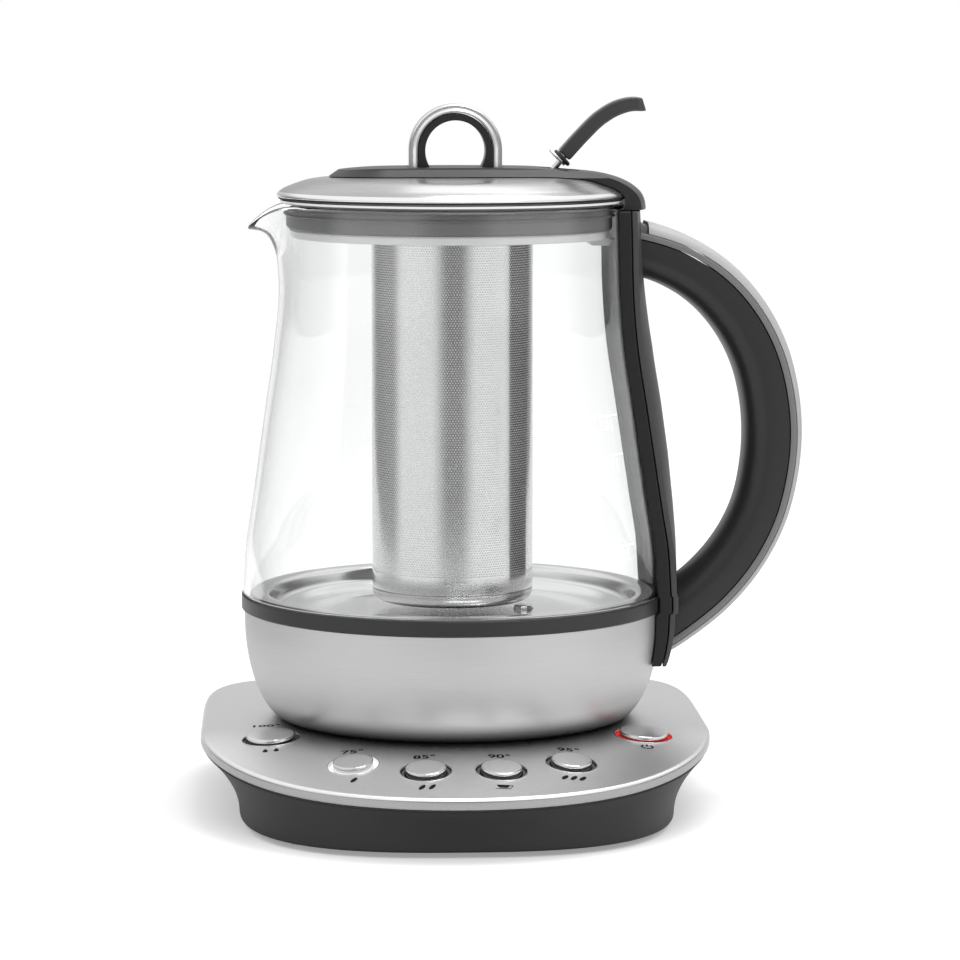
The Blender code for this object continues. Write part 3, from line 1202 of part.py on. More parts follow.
def make_plug(parent):
    """The plug in the glass's mouth: skirts outside and round the infuser, ears for the lever's pin."""
    socket = COLLAR_RADIUS + GAP
    skirt = socket + SKIRT_WALL
    plug = turned("lid_plug", PALE, parent, [
        (0, DOME_TOP_Z), (BOSS_HUB_RADIUS, DOME_TOP_Z), (BOSS_HUB_RADIUS, PLUG_TOP_Z),
        (PLUG_FLANGE_RADIUS, PLUG_TOP_Z), (PLUG_FLANGE_RADIUS, PLUG_UNDER_Z + PLUG_SHEET / 3),
        (PLUG_RADIUS, PLUG_UNDER_Z + PLUG_SHEET / 3), (PLUG_RADIUS, PLUG_BOTTOM_Z),
        (PLUG_RADIUS - PLUG_WALL, PLUG_BOTTOM_Z), (PLUG_RADIUS - PLUG_WALL, PLUG_UNDER_Z),
        (skirt, PLUG_UNDER_Z), (skirt, PLUG_BOTTOM_Z), (socket, PLUG_BOTTOM_Z), (socket, PLUG_UNDER_Z),
        (0, PLUG_UNDER_Z),
    ])
    for side, sign in (("front", -1), ("back", 1)):
        near, far = sign * EAR_INNER, sign * (EAR_INNER + EAR_SHEET)
        ear = block(
            f"ear_{side}", None, parent,
            (LEVER_PIN_X - EAR_HALF_LENGTH, min(near, far), PLUG_UNDER_Z + PLUG_SHEET / 2),
            (LEVER_PIN_X + EAR_HALF_LENGTH, max(near, far), LEVER_PIN_Z + 2 * PIN_RADIUS - GAP),
        )
        combine(plug, ear, "UNION")
    bore = drum(
        "pin_bore", None, parent, PIN_RADIUS + GAP, 4 * PIN_HALF_LENGTH,
        (LEVER_PIN_X, 0, LEVER_PIN_Z), (math.pi / 2, 0, 0), SMALL_STEPS,
    )
    combine(plug, bore)
    slot = block(
        "crank_slot", None, parent,
        (LEVER_PIN_X + ROD_RADIUS, -ROD_RADIUS - 2 * GAP, PLUG_UNDER_Z - EAR_INNER),
        (LEVER_PIN_X + CRANK_REACH + EAR_SHEET, ROD_RADIUS + 2 * GAP, PLUG_TOP_Z + OVERRUN),
    )
    combine(plug, slot)
    drum(
        "lever_pin", ZINC, parent, PIN_RADIUS, 2 * PIN_HALF_LENGTH, (LEVER_PIN_X, 0, LEVER_PIN_Z),
        (math.pi / 2, 0, 0), SMALL_STEPS,
    )
    rim = GLASS_RIM_Z + GAP + GAP / 3
    flange_top = rim + GASKET_FLANGE_SHEET
    inner = PLUG_RADIUS + GAP
    outline = [(inner, flange_top), (GASKET_FLANGE_RADIUS, flange_top), (GASKET_FLANGE_RADIUS, rim)]
    neck = GASKET_RADIUS + GASKET_RIB / 3
    outline.append((neck, rim))
    for number in range(2):
        top = rim - GASKET_RIB_HEIGHT * (1 + 2 * number)
        outline += [
            (GASKET_RADIUS, top), (GASKET_RADIUS + GASKET_RIB, top - GASKET_RIB_HEIGHT / 2),
            (GASKET_RADIUS, top - GASKET_RIB_HEIGHT),
        ]
    outline += [(GASKET_RADIUS, PLUG_BOTTOM_Z + GASKET_RIB / 2), (GASKET_RADIUS - GASKET_RIB / 2, PLUG_BOTTOM_Z)]
    outline.append((inner, PLUG_BOTTOM_Z))
    turned("lid_gasket", SILICONE, parent, outline)
    opening = COLLAR_GROOVE_RADIUS
    lower = turned("lid_lower_plate", PALE, parent, [
        (LOWER_PLATE_RADIUS, LOWER_PLATE_Z + LOWER_PLATE_SHEET), (LOWER_PLATE_RADIUS, LOWER_PLATE_Z),
        (opening, LOWER_PLATE_Z), (opening, LOWER_PLATE_Z + LOWER_PLATE_SHEET),
    ])
    right = catch_wall_x() + GAP
    gate = block(
        "catch_gate", None, parent,
        (right - CATCH_WALL - CATCH_TRAVEL - 2 * GAP, -CATCH_WALL_HALF_WIDTH - GAP, LOWER_PLATE_Z - OVERRUN),
        (right, CATCH_WALL_HALF_WIDTH + GAP, PLUG_BOTTOM_Z),
    )
    combine(lower, gate)


def catch_wall_x():
    """The face of the catch's wall that the crank pushes."""
    return LEVER_PIN_X + CRANK_REACH - ROD_RADIUS - GAP


def make_loop(parent):
    """The loop handle: a steel band over the top and a dark insert inside it."""
    centre_z = CAP_TOP_Z + LOOP_RISE
    foot = CAP_TOP_Z - LOOP_SINK
    centre = (LOOP_X, centre_z)
    inner = LOOP_RADIUS - LOOP_BAND
    band = arc(centre, LOOP_RADIUS, 0, 180, LOOP_POINTS)
    band += [(LOOP_X - LOOP_RADIUS, foot), (LOOP_X - inner, foot)]
    band += arc(centre, inner, 180, 0, LOOP_POINTS) + [(LOOP_X + inner, foot), (LOOP_X + LOOP_RADIUS, foot)]
    flat = (math.pi / 2, 0, 0)
    slab("loop_band", STEEL, parent, band, LOOP_BAND_HALF_WIDTH, (0, 0, 0), flat)
    outer = inner - GAP
    foot = CAP_TOP_Z + GAP
    drop = math.degrees(math.asin((centre_z - foot) / LOOP_HOLE_RADIUS))
    insert = arc(centre, outer, 0, 180, LOOP_POINTS) + [(LOOP_X - outer, foot)]
    insert += arc(centre, LOOP_HOLE_RADIUS, 180 + drop, -drop, LOOP_POINTS) + [(LOOP_X + outer, foot)]
    slab("loop_insert", DARK, parent, insert, LOOP_INSERT_HALF_WIDTH, (0, 0, 0), flat)


def make_lever(parent):
    """The thumb lever on its pin: a bent steel rod with hub and crank, washer, rubber ring and grip."""
    pin = Vector((LEVER_PIN_X, 0, LEVER_PIN_Z))
    axis = empty("lever_axis", parent, pin)
    top = CAP_TOP_Z - LEVER_PIN_Z
    collar = Vector((ROD_COLLAR_REACH, 0, top + ROD_COLLAR_RISE))
    knee = Vector((ROD_KNEE_REACH, 0, top))
    grip_path = [Vector((reach, 0, top + rise)) for reach, rise in zip(GRIP_REACHES, GRIP_RISES)]
    end = grip_path[0] + (grip_path[1] - grip_path[0]) / 2
    corner = Vector((CRANK_REACH, 0, 0))
    tip = Vector((CRANK_REACH, 0, -CRANK_DROP))
    path = [tip, corner, Vector((0, 0, 0)), knee, collar, grip_path[0], end]
    rod = wire("lever_rod", STEEL, axis, path, ROD_RADIUS)
    flat = (math.pi / 2, 0, 0)
    hub = drum("lever_hub", None, axis, HUB_RADIUS, 2 * HUB_HALF_WIDTH, (0, 0, 0), flat, SMALL_STEPS)
    combine(rod, hub, "UNION")
    bore = drum(
        "lever_bore", None, axis, PIN_RADIUS + GAP, 4 * HUB_HALF_WIDTH, (0, 0, 0), flat, SMALL_STEPS
    )
    combine(rod, bore)
    direction = (collar - knee).normalized()
    turn = direction.to_track_quat("Z", "Y").to_euler()
    for name, finish, radius, sheet, lift in (
        ("lever_washer", STEEL, WASHER_RADIUS, WASHER_SHEET, 0),
        ("lever_rubber_ring", RUBBER, RUBBER_RADIUS, RUBBER_SHEET, WASHER_SHEET + GAP),
    ):
        start = collar - direction * (WASHER_SHEET + RUBBER_SHEET + GAP - lift)
        bore_radius = ROD_RADIUS + GAP
        profile = [(radius, sheet), (radius, 0), (bore_radius, 0), (bore_radius, sheet)]
        turned(name, finish, axis, profile, SMALL_STEPS, start, turn)
    rings = []
    for number, point in enumerate(grip_path):
        before = grip_path[max(number - 1, 0)]
        after = grip_path[min(number + 1, len(grip_path) - 1)]
        along = (after - before).normalized()
        up = Vector((-along.z, 0, along.x))
        half = LEVER_GRIP_THICKNESS * LEVER_GRIP_SHARES[number] / 2
        width = LEVER_GRIP_HALF_WIDTH * LEVER_GRIP_SHARES[number]
        turns = np.arange(10) * 2 * math.pi / 10
        ring = [
            point + up * half * squared(math.cos(a)) + Vector((0, width * squared(math.sin(a)), 0))
            for a in turns
        ]
        rings.append(ring)
    grip = lofted("lever_grip", DARK, axis, rings)
    entry = wire("grip_bore", None, axis, [collar, grip_path[0], end + (end - grip_path[0]) * 0.2], ROD_RADIUS + GAP)
    combine(grip, entry)


def squared(value):
    """A sine or cosine pushed out, which turns a circle into a rounded square."""
    return math.copysign(abs(value) ** 0.7, value)


def make_catch(parent):
    """The catch under the lid's right side, with the wall that the lever's crank pushes."""
    face = catch_wall_x()
    axis = empty("catch_axis", parent, (face, 0, LOWER_PLATE_Z))
    tip = MOUTH_RADIUS - GLASS_WALL - CATCH_TIP_CLEARANCE - face
    top = -GAP
    catch = block(
        "lid_catch", PALE, axis,
        (tip - CATCH_LENGTH, -CATCH_HALF_WIDTH, top - CATCH_SHEET), (tip, CATCH_HALF_WIDTH, top),
    )
    wall = block(
        "catch_wall", None, axis,
        (-CATCH_WALL, -CATCH_WALL_HALF_WIDTH, top - CATCH_SHEET / 2),
        (0, CATCH_WALL_HALF_WIDTH, CATCH_WALL_HEIGHT),
    )
    combine(catch, wall, "UNION")


def sector(name, finish, parent, inner, outer, half_angle, at_angle, low, high):
    """A ring sector between two radii and two heights."""
    outline = arc((0, 0), outer, at_angle - half_angle, at_angle + half_angle, 7)
    outline += arc((0, 0), inner, at_angle + half_angle, at_angle - half_angle, 7)
    return slab(name, finish, parent, outline, (high - low) / 2, (0, 0, (low + high) / 2))


def make_collar(parent):
    """The bayonet collar in the plug: a groove for the infuser's lugs, entered through two gaps."""
    groove_low = COLLAR_BOTTOM_Z + COLLAR_LIP
    groove_high = groove_low + COLLAR_GROOVE
    collar = turned("basket_collar", PALE, parent, [
        (COLLAR_RADIUS, COLLAR_TOP_Z), (COLLAR_RADIUS, COLLAR_BOTTOM_Z), (COLLAR_INNER_RADIUS, COLLAR_BOTTOM_Z),
        (COLLAR_INNER_RADIUS, groove_low), (COLLAR_GROOVE_RADIUS, groove_low),
        (COLLAR_GROOVE_RADIUS, groove_high), (COLLAR_INNER_RADIUS, groove_high),
        (COLLAR_INNER_RADIUS, COLLAR_TOP_Z),
    ])
    for number in range(2):
        gap = sector(
            f"collar_entry_{number + 1}", None, parent, BASKET_RADIUS, COLLAR_GROOVE_RADIUS,
            ENTRY_HALF_ANGLE, LUG_ANGLE + BASKET_TWIST + 180 * number,
            COLLAR_BOTTOM_Z - OVERRUN, groove_low + COLLAR_GROOVE / 2,
        )
        combine(collar, gap)


def make_infuser(parent):
    """The infuser: a straight steel tube with two lugs at its top, and a cup pushed into its bottom."""
    bottom = BASKET_BOTTOM_Z + CUP_HEIGHT + GAP
    inner = BASKET_RADIUS - BASKET_WALL
    tube = turned("basket_tube", MESH_STEEL, parent, [
        (BASKET_RADIUS, BASKET_TOP_Z), (BASKET_RADIUS, bottom), (inner, bottom), (inner, BASKET_TOP_Z),
    ])
    lug_low = COLLAR_BOTTOM_Z + COLLAR_LIP + (COLLAR_GROOVE - LUG_HEIGHT) / 2
    for number in range(2):
        lug = sector(
            f"basket_lug_{number + 1}", None, parent, BASKET_RADIUS - BASKET_WALL / 2,
            BASKET_RADIUS + LUG_REACH, LUG_HALF_ANGLE, LUG_ANGLE + 180 * number, lug_low,
            lug_low + LUG_HEIGHT,
        )
        combine(tube, lug, "UNION")
    low = BASKET_BOTTOM_Z
    outer_corner = arc((BASKET_RADIUS - CUP_ROUND, low + CUP_ROUND), CUP_ROUND, -90, 0, 4)
    tight = CUP_ROUND - CUP_SHEET
    spigot_outer = inner - GAP
    spigot_inner = spigot_outer - SPIGOT_SHEET
    inner_corner = arc((spigot_inner - tight, low + CUP_ROUND), tight, 0, -90, 4)
    seam = low + CUP_HEIGHT
    turned("basket_cup", STEEL, parent, [(0, low)] + outer_corner + [
        (BASKET_RADIUS, seam), (spigot_outer, seam), (spigot_outer, seam + SPIGOT_HEIGHT),
        (spigot_inner, seam + SPIGOT_HEIGHT),
    ] + inner_corner + [(0, low + CUP_SHEET)])


clear_scene()
PARTS = collection("tea_maker")
CUTTERS = collection("cutters")
STEEL = look("brushed_steel", (0.62, 0.62, 0.62), 0.32, 1)
CHROME = look("chrome", (0.75, 0.75, 0.76), 0.12, 1)
MESH_STEEL = look("perforated_steel", (0.5, 0.5, 0.5), 0.4, 1)
ALUMINIUM = look("aluminium", (0.7, 0.7, 0.71), 0.45, 1)
ZINC = look("zinc", (0.55, 0.55, 0.56), 0.4, 1)
BLACK = look("black_plastic", (0.05, 0.05, 0.052), 0.5)
DARK = look("dark_grey_plastic", (0.06, 0.06, 0.062), 0.42)
GREY = look("grey_plastic", (0.25, 0.25, 0.255), 0.45)
SILVER = look("silver_paint", (0.6, 0.6, 0.6), 0.4, 0.3)
PALE = look("pale_plastic", (0.75, 0.75, 0.74), 0.4)
SILICONE = look("grey_silicone", (0.2, 0.2, 0.2), 0.55)
RUBBER = look("black_rubber", (0.03, 0.03, 0.03), 0.8)
LENS = look("lens", (0.3, 0.3, 0.3), 0.3)
BOARD = look("circuit_board", (0.05, 0.22, 0.1), 0.5)
CONNECTOR = look("connector_plastic", (0.08, 0.08, 0.08), 0.5)
GLASS = look("clear_glass", (0.9, 0.93, 0.93), 0.02, 0, 0.3)

BASE = empty("base_centre", None, (JUG_X, JUG_Y, 0))
JUG = empty("jug_axis", BASE)
LID = empty("lid_axis", JUG)
BASKET = empty("basket_axis", LID)

make_base_plate(BASE)
make_base_wall(BASE)
make_base_pan(BASE)
make_feet_and_screws(BASE)
make_boards(BASE)
make_base_connector(BASE)
make_cord_gland(BASE)
make_buttons(BASE)
make_jug_shells(JUG)
make_glass(JUG)
make_heater(JUG)
make_jug_bottom(JUG)
make_handle(JUG, *make_spine(JUG))
make_lid_shells(LID)
make_plug(LID)
make_loop(LID)
make_collar(LID)
make_lever(LID)
make_catch(LID)
make_infuser(BASKET)
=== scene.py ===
# %% [markdown]
# # An automatic tea maker
# A glass jug with a steel bowl, a C-shaped handle and a hanging infuser stands on a powered base with six
# buttons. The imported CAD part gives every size, joint and place. Here each visible piece is made again as a
# finer mesh over its CAD solid, and gets its finish. All pieces are drawn in millimetres from the jug's
# upright axis, because most of them were turned or pressed about it, and are then moved to where the CAD
# part stands.

import math

import bmesh
import bpy
import numpy as np
from mathutils import Matrix, Vector


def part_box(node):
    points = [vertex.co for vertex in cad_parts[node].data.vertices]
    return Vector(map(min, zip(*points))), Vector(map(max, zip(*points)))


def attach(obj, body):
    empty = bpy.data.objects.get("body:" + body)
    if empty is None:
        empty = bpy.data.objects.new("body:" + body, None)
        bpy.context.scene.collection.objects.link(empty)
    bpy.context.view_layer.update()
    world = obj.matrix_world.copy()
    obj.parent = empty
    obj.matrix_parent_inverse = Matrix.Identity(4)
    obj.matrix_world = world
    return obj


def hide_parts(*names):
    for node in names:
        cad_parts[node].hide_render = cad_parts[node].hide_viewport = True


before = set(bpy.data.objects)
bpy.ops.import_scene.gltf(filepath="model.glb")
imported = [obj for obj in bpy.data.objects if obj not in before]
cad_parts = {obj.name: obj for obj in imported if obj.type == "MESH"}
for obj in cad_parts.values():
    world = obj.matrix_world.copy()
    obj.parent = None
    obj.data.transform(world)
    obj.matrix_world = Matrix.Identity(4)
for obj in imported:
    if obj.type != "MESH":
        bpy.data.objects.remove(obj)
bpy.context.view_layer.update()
low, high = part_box("bowl_shell")
AXIS = np.array([(low.x + high.x) / 2, (low.y + high.y) / 2, 0])
MM = 0.001

# %% [markdown]
# ## How the surfaces are made
# A turned or pressed piece is a grid of points: one row for each step along its profile, one column for each
# step round it. Three small helpers draw such profiles. One rounds the corners of a line as a press tool
# does, one lays a smooth curve through a few measured points, and one moves a line sideways by the thickness
# of a sheet. numpy works on all points at once, which keeps the script quick.

# %% Lines: rounded corners, smooth curves, offsets
def unit(vectors):
    """Each vector divided by its length."""
    return vectors / np.linalg.norm(vectors, axis=-1, keepdims=True)


def rounded(points, radii, closed=True, steps=4):
    """Each corner becomes an arc: it touches both sides at radius / tan(half the corner's angle) from it."""
    points, line = np.asarray(points, float), []
    radii = np.broadcast_to(radii, len(points))
    for i, (point, radius) in enumerate(zip(points, radii)):
        if radius == 0 or (not closed and i in (0, len(points) - 1)):
            line.append(point[None])
            continue
        before, after = unit(points[i - 1] - point), unit(points[(i + 1) % len(points)] - point)
        half = math.acos(np.clip(before @ after, -1, 1)) / 2
        if half > math.radians(88):
            line.append(point[None])
            continue
        centre = point + unit(before + after) * radius / math.sin(half)
        start = point + before * radius / math.tan(half) - centre
        end = point + after * radius / math.tan(half) - centre
        turn, share = math.pi - 2 * half, np.linspace(0, 1, steps + 1)[:, None]
        arc = start * np.sin((1 - share) * turn) + end * np.sin(share * turn)
        line.append(centre + arc / math.sin(turn))
    return np.vstack(line)


def smooth_line(points, count):
    """A curve through the points, a cubic between each two, evenly stepped along its length."""
    points = np.asarray(points, float)
    along = np.concatenate([[0], np.cumsum(np.linalg.norm(np.diff(points, axis=0), axis=1))])
    slope = np.gradient(points, along, axis=0)
    at = np.linspace(0, along[-1], count)
    i = np.clip(np.searchsorted(along, at, "right") - 1, 0, len(along) - 2)
    span = (along[i + 1] - along[i])[:, None]
    s = (at - along[i])[:, None] / span
    return (
        (1 + 2 * s) * (1 - s) ** 2 * points[i] + s * (1 - s) ** 2 * span * slope[i]
        + s**2 * (3 - 2 * s) * points[i + 1] + s**2 * (s - 1) * span * slope[i + 1]
    )


def offset(line, distance):
    """The line moved to its right by a distance, along the mean of its neighbours' directions."""
    line = np.asarray(line, float)
    along = unit(np.gradient(line, axis=0))
    return line + np.column_stack([along[:, 1], -along[:, 0]]) * distance


def smoothstep(share):
    """0 to 1 with level ends: 3 s^2 - 2 s^3."""
    share = np.clip(share, 0, 1)
    return share * share * (3 - 2 * share)


square = rounded([(0, 0), (10, 0), (10, 10), (0, 10)], 2)
print("a square of 10 mm with 2 mm corners has", len(square), "points")

# %% [markdown]
# The grid becomes a mesh in one call. Points that fall together, as at the middle of a disc, are merged, and
# the normals are turned outwards. A sharp edge is kept where two faces meet at more than the given angle.

# %% Grids to meshes
def mesh_piece(name, points, faces, sharp=40):
    """An object at the origin from points in millimetres about the jug's axis."""
    mesh = bpy.data.meshes.new(name)
    mesh.from_pydata((np.asarray(points, float) * MM + AXIS).tolist(), [], faces)
    shape = bmesh.new()
    shape.from_mesh(mesh)
    bmesh.ops.remove_doubles(shape, verts=shape.verts, dist=0.002 * MM)
    bmesh.ops.recalc_face_normals(shape, faces=shape.faces)
    shape.to_mesh(mesh)
    shape.free()
    mesh.shade_smooth()
    mesh.set_sharp_from_angle(angle=math.radians(sharp))
    piece = bpy.data.objects.new(name, mesh)
    bpy.context.scene.collection.objects.link(piece)
    return piece


def surface(name, grid, loop=True, sharp=40):
    """A skin over closed rows of points: loop joins the last row to the first, otherwise caps close it."""
    rows, columns = grid.shape[:2]
    index = np.arange(rows * columns).reshape(rows, columns)
    lower, upper = (index, np.roll(index, -1, 0)) if loop else (index[:-1], index[1:])
    corners = [lower, np.roll(lower, -1, 1), np.roll(upper, -1, 1), upper]
    quads = np.stack(corners, -1).reshape(-1, 4).tolist()
    if not loop:
        wide = [row for row in (0, rows - 1) if np.ptp(grid[row], axis=0).max() > 0]
        quads += [index[row].tolist() for row in wide]
    return mesh_piece(name, grid.reshape(-1, 3), quads, sharp)


def turned(profile, steps=160):
    """(radius, height) points carried round the axis: x = r cos a, y = r sin a."""
    profile = np.asarray(profile, float)
    angle = np.arange(steps) * 2 * math.pi / steps
    level = np.repeat(profile[:, 1:], steps, axis=1)
    return np.stack([profile[:, :1] * np.cos(angle), profile[:, :1] * np.sin(angle), level], -1)


def placed(grid, point, normal):
    """The grid tipped so that its own up runs along the normal, and moved to a point."""
    turn = np.array(Vector(normal).to_track_quat("Z", "Y").to_matrix())
    return grid @ turn.T + np.asarray(point)


def spun(name, profile, point, normal, steps=64, **shape):
    """A piece turned about its own axis, tipped along a normal and moved to a point."""
    return surface(name, placed(turned(profile, steps), point, normal), **shape)


def drill(name, radius, half, point, normal, steps=64):
    """A cylinder for a cut, reaching half its length each way from a point along a normal."""
    line = [(0, half), (radius, half), (radius, -half), (0, -half)]
    return spun(name, line, point, normal, steps, loop=False)


def slab(name, outline, half, bevel, sharp=40):
    """A flat (x, z) outline thickened by half both ways along y, its edges rounded by a bevel."""
    outline = np.asarray(outline, float)
    count = len(outline)
    points = [np.column_stack([outline[:, 0], np.full(count, y), outline[:, 1]]) for y in (-half, half)]
    index = np.arange(count)
    sides = np.stack([index, np.roll(index, -1), np.roll(index, -1) + count, index + count], -1).tolist()
    piece = mesh_piece(name, np.vstack(points), sides + [index.tolist(), (index + count).tolist()], sharp)
    bevelled(piece, bevel)
    return piece


def bevelled(piece, width, segments=3, angle=50):
    """Rounds the piece's sharp edges by a width in millimetres."""
    step = piece.modifiers.new("edges", "BEVEL")
    step.width, step.segments = width * MM, segments
    step.limit_method, step.angle_limit = "ANGLE", math.radians(angle)
    step.harden_normals = True
    step.miter_outer = "MITER_ARC"


print("a disc of 3 rows and 8 columns has", turned([(0, 0), (5, 0), (5, 1)], 8).shape, "points")

# %% [markdown]
# ## Finishes
# Metal, plastic and rubber differ in how sharply they mirror the studio, so every finish is a Principled
# shader with a fine pattern in it. The pattern is read from the object's own coordinates, moved to the jug's
# axis, so it stays on the piece from every side. Brushed steel has streaks: thin lines round the axis where
# the piece was turned on a lathe, straight lines along x where a flat plate was brushed. Plastic has a fine
# even grain.

# %% Nodes for a pattern
def node(tree, kind, inputs=(), **settings):
    """A shader node with its settings, and each input either linked or set to a value."""
    made = tree.nodes.new("ShaderNode" + kind)
    for key, value in settings.items():
        setattr(made, key, value)
    for key, value in dict(inputs).items():
        if isinstance(value, bpy.types.NodeSocket):
            tree.links.new(value, made.inputs[key])
        else:
            made.inputs[key].default_value = value
    return made


def math_node(tree, operation, *values, clamp=False):
    """The result of a Math node on values or sockets."""
    return node(tree, "Math", enumerate(values), operation=operation, use_clamp=clamp).outputs[0]


def centred(tree):
    """The object's coordinates, moved so that the jug's axis is at zero."""
    place = node(tree, "TexCoord").outputs["Object"]
    return node(tree, "Mapping", {"Vector": place, "Location": tuple(-AXIS)}).outputs[0]


STREAK_RATIO, STREAKS_ROUND = 60, 4.0


def pattern_vector(tree, kind, size):
    """Coordinates for the noise: even for grain, drawn out along the brush strokes for steel."""
    place = centred(tree)
    if kind == "grain":
        return node(tree, "VectorMath", {0: place, "Scale": 1 / (size * MM)}, operation="SCALE").outputs[0]
    x, y, z = node(tree, "SeparateXYZ", {0: place}).outputs
    fine, slow = 1 / (size * MM), 1 / (STREAK_RATIO * size * MM)
    scaled = [(x, slow), (y, fine), (z, fine)]
    if kind == "turned":
        squares = [math_node(tree, "MULTIPLY", value, value) for value in (x, y)]
        radius = math_node(tree, "SQRT", math_node(tree, "ADD", *squares))
        scaled = [(math_node(tree, "ARCTAN2", y, x), STREAKS_ROUND), (radius, fine), (z, fine)]
    parts = [math_node(tree, "MULTIPLY", *pair) for pair in scaled]
    return node(tree, "CombineXYZ", enumerate(parts)).outputs[0]


NOISE_LOW, NOISE_HIGH = 0.3, 0.7


def finish(name, colour, roughness, metallic=0.0, kind="grain", size=0.25, spread=0.04, bump=0.0, extra=()):
    """A Principled material: the pattern shifts its colour by +-spread and its roughness by half of that."""
    made = bpy.data.materials.new(name)
    made.use_nodes = True
    tree = made.node_tree
    shader = tree.nodes["Principled BSDF"]
    pattern = {"Vector": pattern_vector(tree, kind, size), "Scale": 1.0, "Detail": 2.0}
    noise = node(tree, "TexNoise", pattern).outputs[0]
    colour = np.broadcast_to(colour, 3)
    ramp = node(tree, "ValToRGB", {0: noise})
    changes = ((NOISE_LOW, 1 - spread), (NOISE_HIGH, 1 + spread))
    for stop, (place, change) in zip(ramp.color_ramp.elements, changes):
        stop.position, stop.color = place, (*np.clip(colour * change, 0, 1), 1)
    tree.links.new(ramp.outputs[0], shader.inputs["Base Color"])
    smooth, dull = roughness - spread / 2, roughness + spread / 2
    rough = node(tree, "MapRange", {0: noise, 1: NOISE_LOW, 2: NOISE_HIGH, 3: smooth, 4: dull})
    tree.links.new(rough.outputs[0], shader.inputs["Roughness"])
    shader.inputs["Metallic"].default_value = metallic
    for key, value in dict(extra).items():
        shader.inputs[key].default_value = value
    if bump:
        lift = node(tree, "Bump", {"Height": noise, "Strength": 1.0, "Distance": bump * MM})
        tree.links.new(lift.outputs[0], shader.inputs["Normal"])
    made.diffuse_color = (*colour, 1)
    return made


# %% [markdown]
# Steels differ in how fine they are polished. The plastics of the real object are dull, so they mirror less
# than plain plastic does. White print and pale plastic get a little painted glow, though they are no lamps,
# because in the photograph they are as bright as the white room behind them.

# %% Steels, plastics and inks
def dull_plastic(mirror):
    """The extra setting for a plastic that mirrors less than usual."""
    return {"Specular IOR Level": mirror}


def glowing(strength, colour=(1, 1, 1)):
    """The extra settings for a finish that gives off light of its own."""
    return {"Emission Color": (*colour, 1), "Emission Strength": strength}


BOWL_STEEL = finish("turned_bowl_steel", 0.62, 0.5, 1, "turned", 0.12, 0.035)
HEATER_STEEL = finish("pressed_heater_steel", 0.86, 0.15, 1, "turned", 0.12, 0.03)
# painted shade: the cup's steel is darker than the tube's, for the darker reflections low on the infuser
CUP_STEEL = finish("infuser_cup_steel", 0.58, 0.24, 1, "turned", 0.12, 0.03)
PLATE_STEEL = finish("brushed_plate_steel", 0.9, 0.38, 1, "straight", 0.12, 0.06, 0, {"Anisotropic": 0.75})
# painted shade: a darker copy of the plate's own steel, for the upright faces of its rolled edge
LIP_SHADED_STEEL = finish("plate_edge_shaded_steel", 0.42, 0.28, 1, "grain", 0.12, 0.04)
DOME_STEEL = finish("turned_lid_steel", 0.5, 0.26, 1, "turned", 0.12, 0.035)
# painted highlight: a much brighter copy of the dome's steel, for the white line along its rolled rim
RIM_HIGHLIGHT_STEEL = finish("rolled_rim_highlight_steel", 0.95, 0.2, 1, "turned", 0.12, 0.02)
LOOP_STEEL = finish("loop_band_steel", 0.9, 0.28, 1, "grain", 0.15, 0.01)
POLISHED = finish("polished_steel", 0.7, 0.09, 1, "turned", 0.3, 0.01)
CAP_FACE = finish("satin_button_face", 0.8, 0.3, 1, "straight", 0.1, 0.03)
BLACK = finish("black_wall_plastic", 0.022, 0.42, 0, "grain", 0.3, 0.05, 0.002, dull_plastic(0.35))
DARK = finish("dark_plastic", 0.024, 0.36, 0, "grain", 0.3, 0.05, 0.001, dull_plastic(0.4))
GRIP = finish("lever_grip_plastic", 0.055, 0.24, 0, "grain", 0.3, 0.05, 0.001)
GREY = finish("grey_strip_plastic", 0.19, 0.35, 0, "grain", 0.3, 0.03)
SILVER = finish("silver_paint", 0.47, 0.6, 0.1, "grain", 0.15, 0.03)
# painted light: the pale plastic glows a little, though it is no lamp
PALE = finish("pale_plastic", 0.9, 0.35, 0, "grain", 0.3, 0.02, 0, glowing(0.08))
SILICONE = finish("grey_silicone", 0.22, 0.5, 0, "grain", 0.4, 0.03)
RUBBER = finish("black_rubber", 0.02, 0.6, 0, "grain", 0.3, 0.06, 0.002)
ZINC = finish("zinc_screw", 0.55, 0.35, 1, "grain", 0.2, 0.05)
ALUMINIUM = finish("cast_aluminium", 0.6, 0.45, 1, "grain", 0.4, 0.05, 0.004)
CONNECTOR = finish("connector_plastic", 0.025, 0.5, 0, "grain", 0.3, 0.05)
BOARD = finish("circuit_board", (0.02, 0.14, 0.05), 0.4, 0, "straight", 0.6, 0.2)
INK = finish("black_print", 0.008, 0.6, 0, "grain", 0.2, 0.05, 0, dull_plastic(0.1))
# painted light: the white print glows a little, though it is no lamp
WHITE_INK = finish("white_print", 0.85, 0.5, 0, "grain", 0.2, 0.02, 0, glowing(0.4))
SPINE = finish("spine_plastic", 0.02, 0.42, 0, "grain", 0.3, 0.05, 0.001, dull_plastic(0.22))
COVER = finish("cover_plastic", 0.06, 0.42, 0, "grain", 0.3, 0.05, 0.001, dull_plastic(0.35))
print(len(bpy.data.materials), "materials so far")

# %% [markdown]
# Two steels need more than that. The bowl's is dark towards its foot, where the real bowl mirrors the shadow
# under itself. The plate's strokes run along x, and strokes stretch each highlight across themselves, so its
# shader is anisotropic, with the strokes' direction as its tangent.

# %% Bowl foot and brush strokes
FOOT_SHADE = 0.1


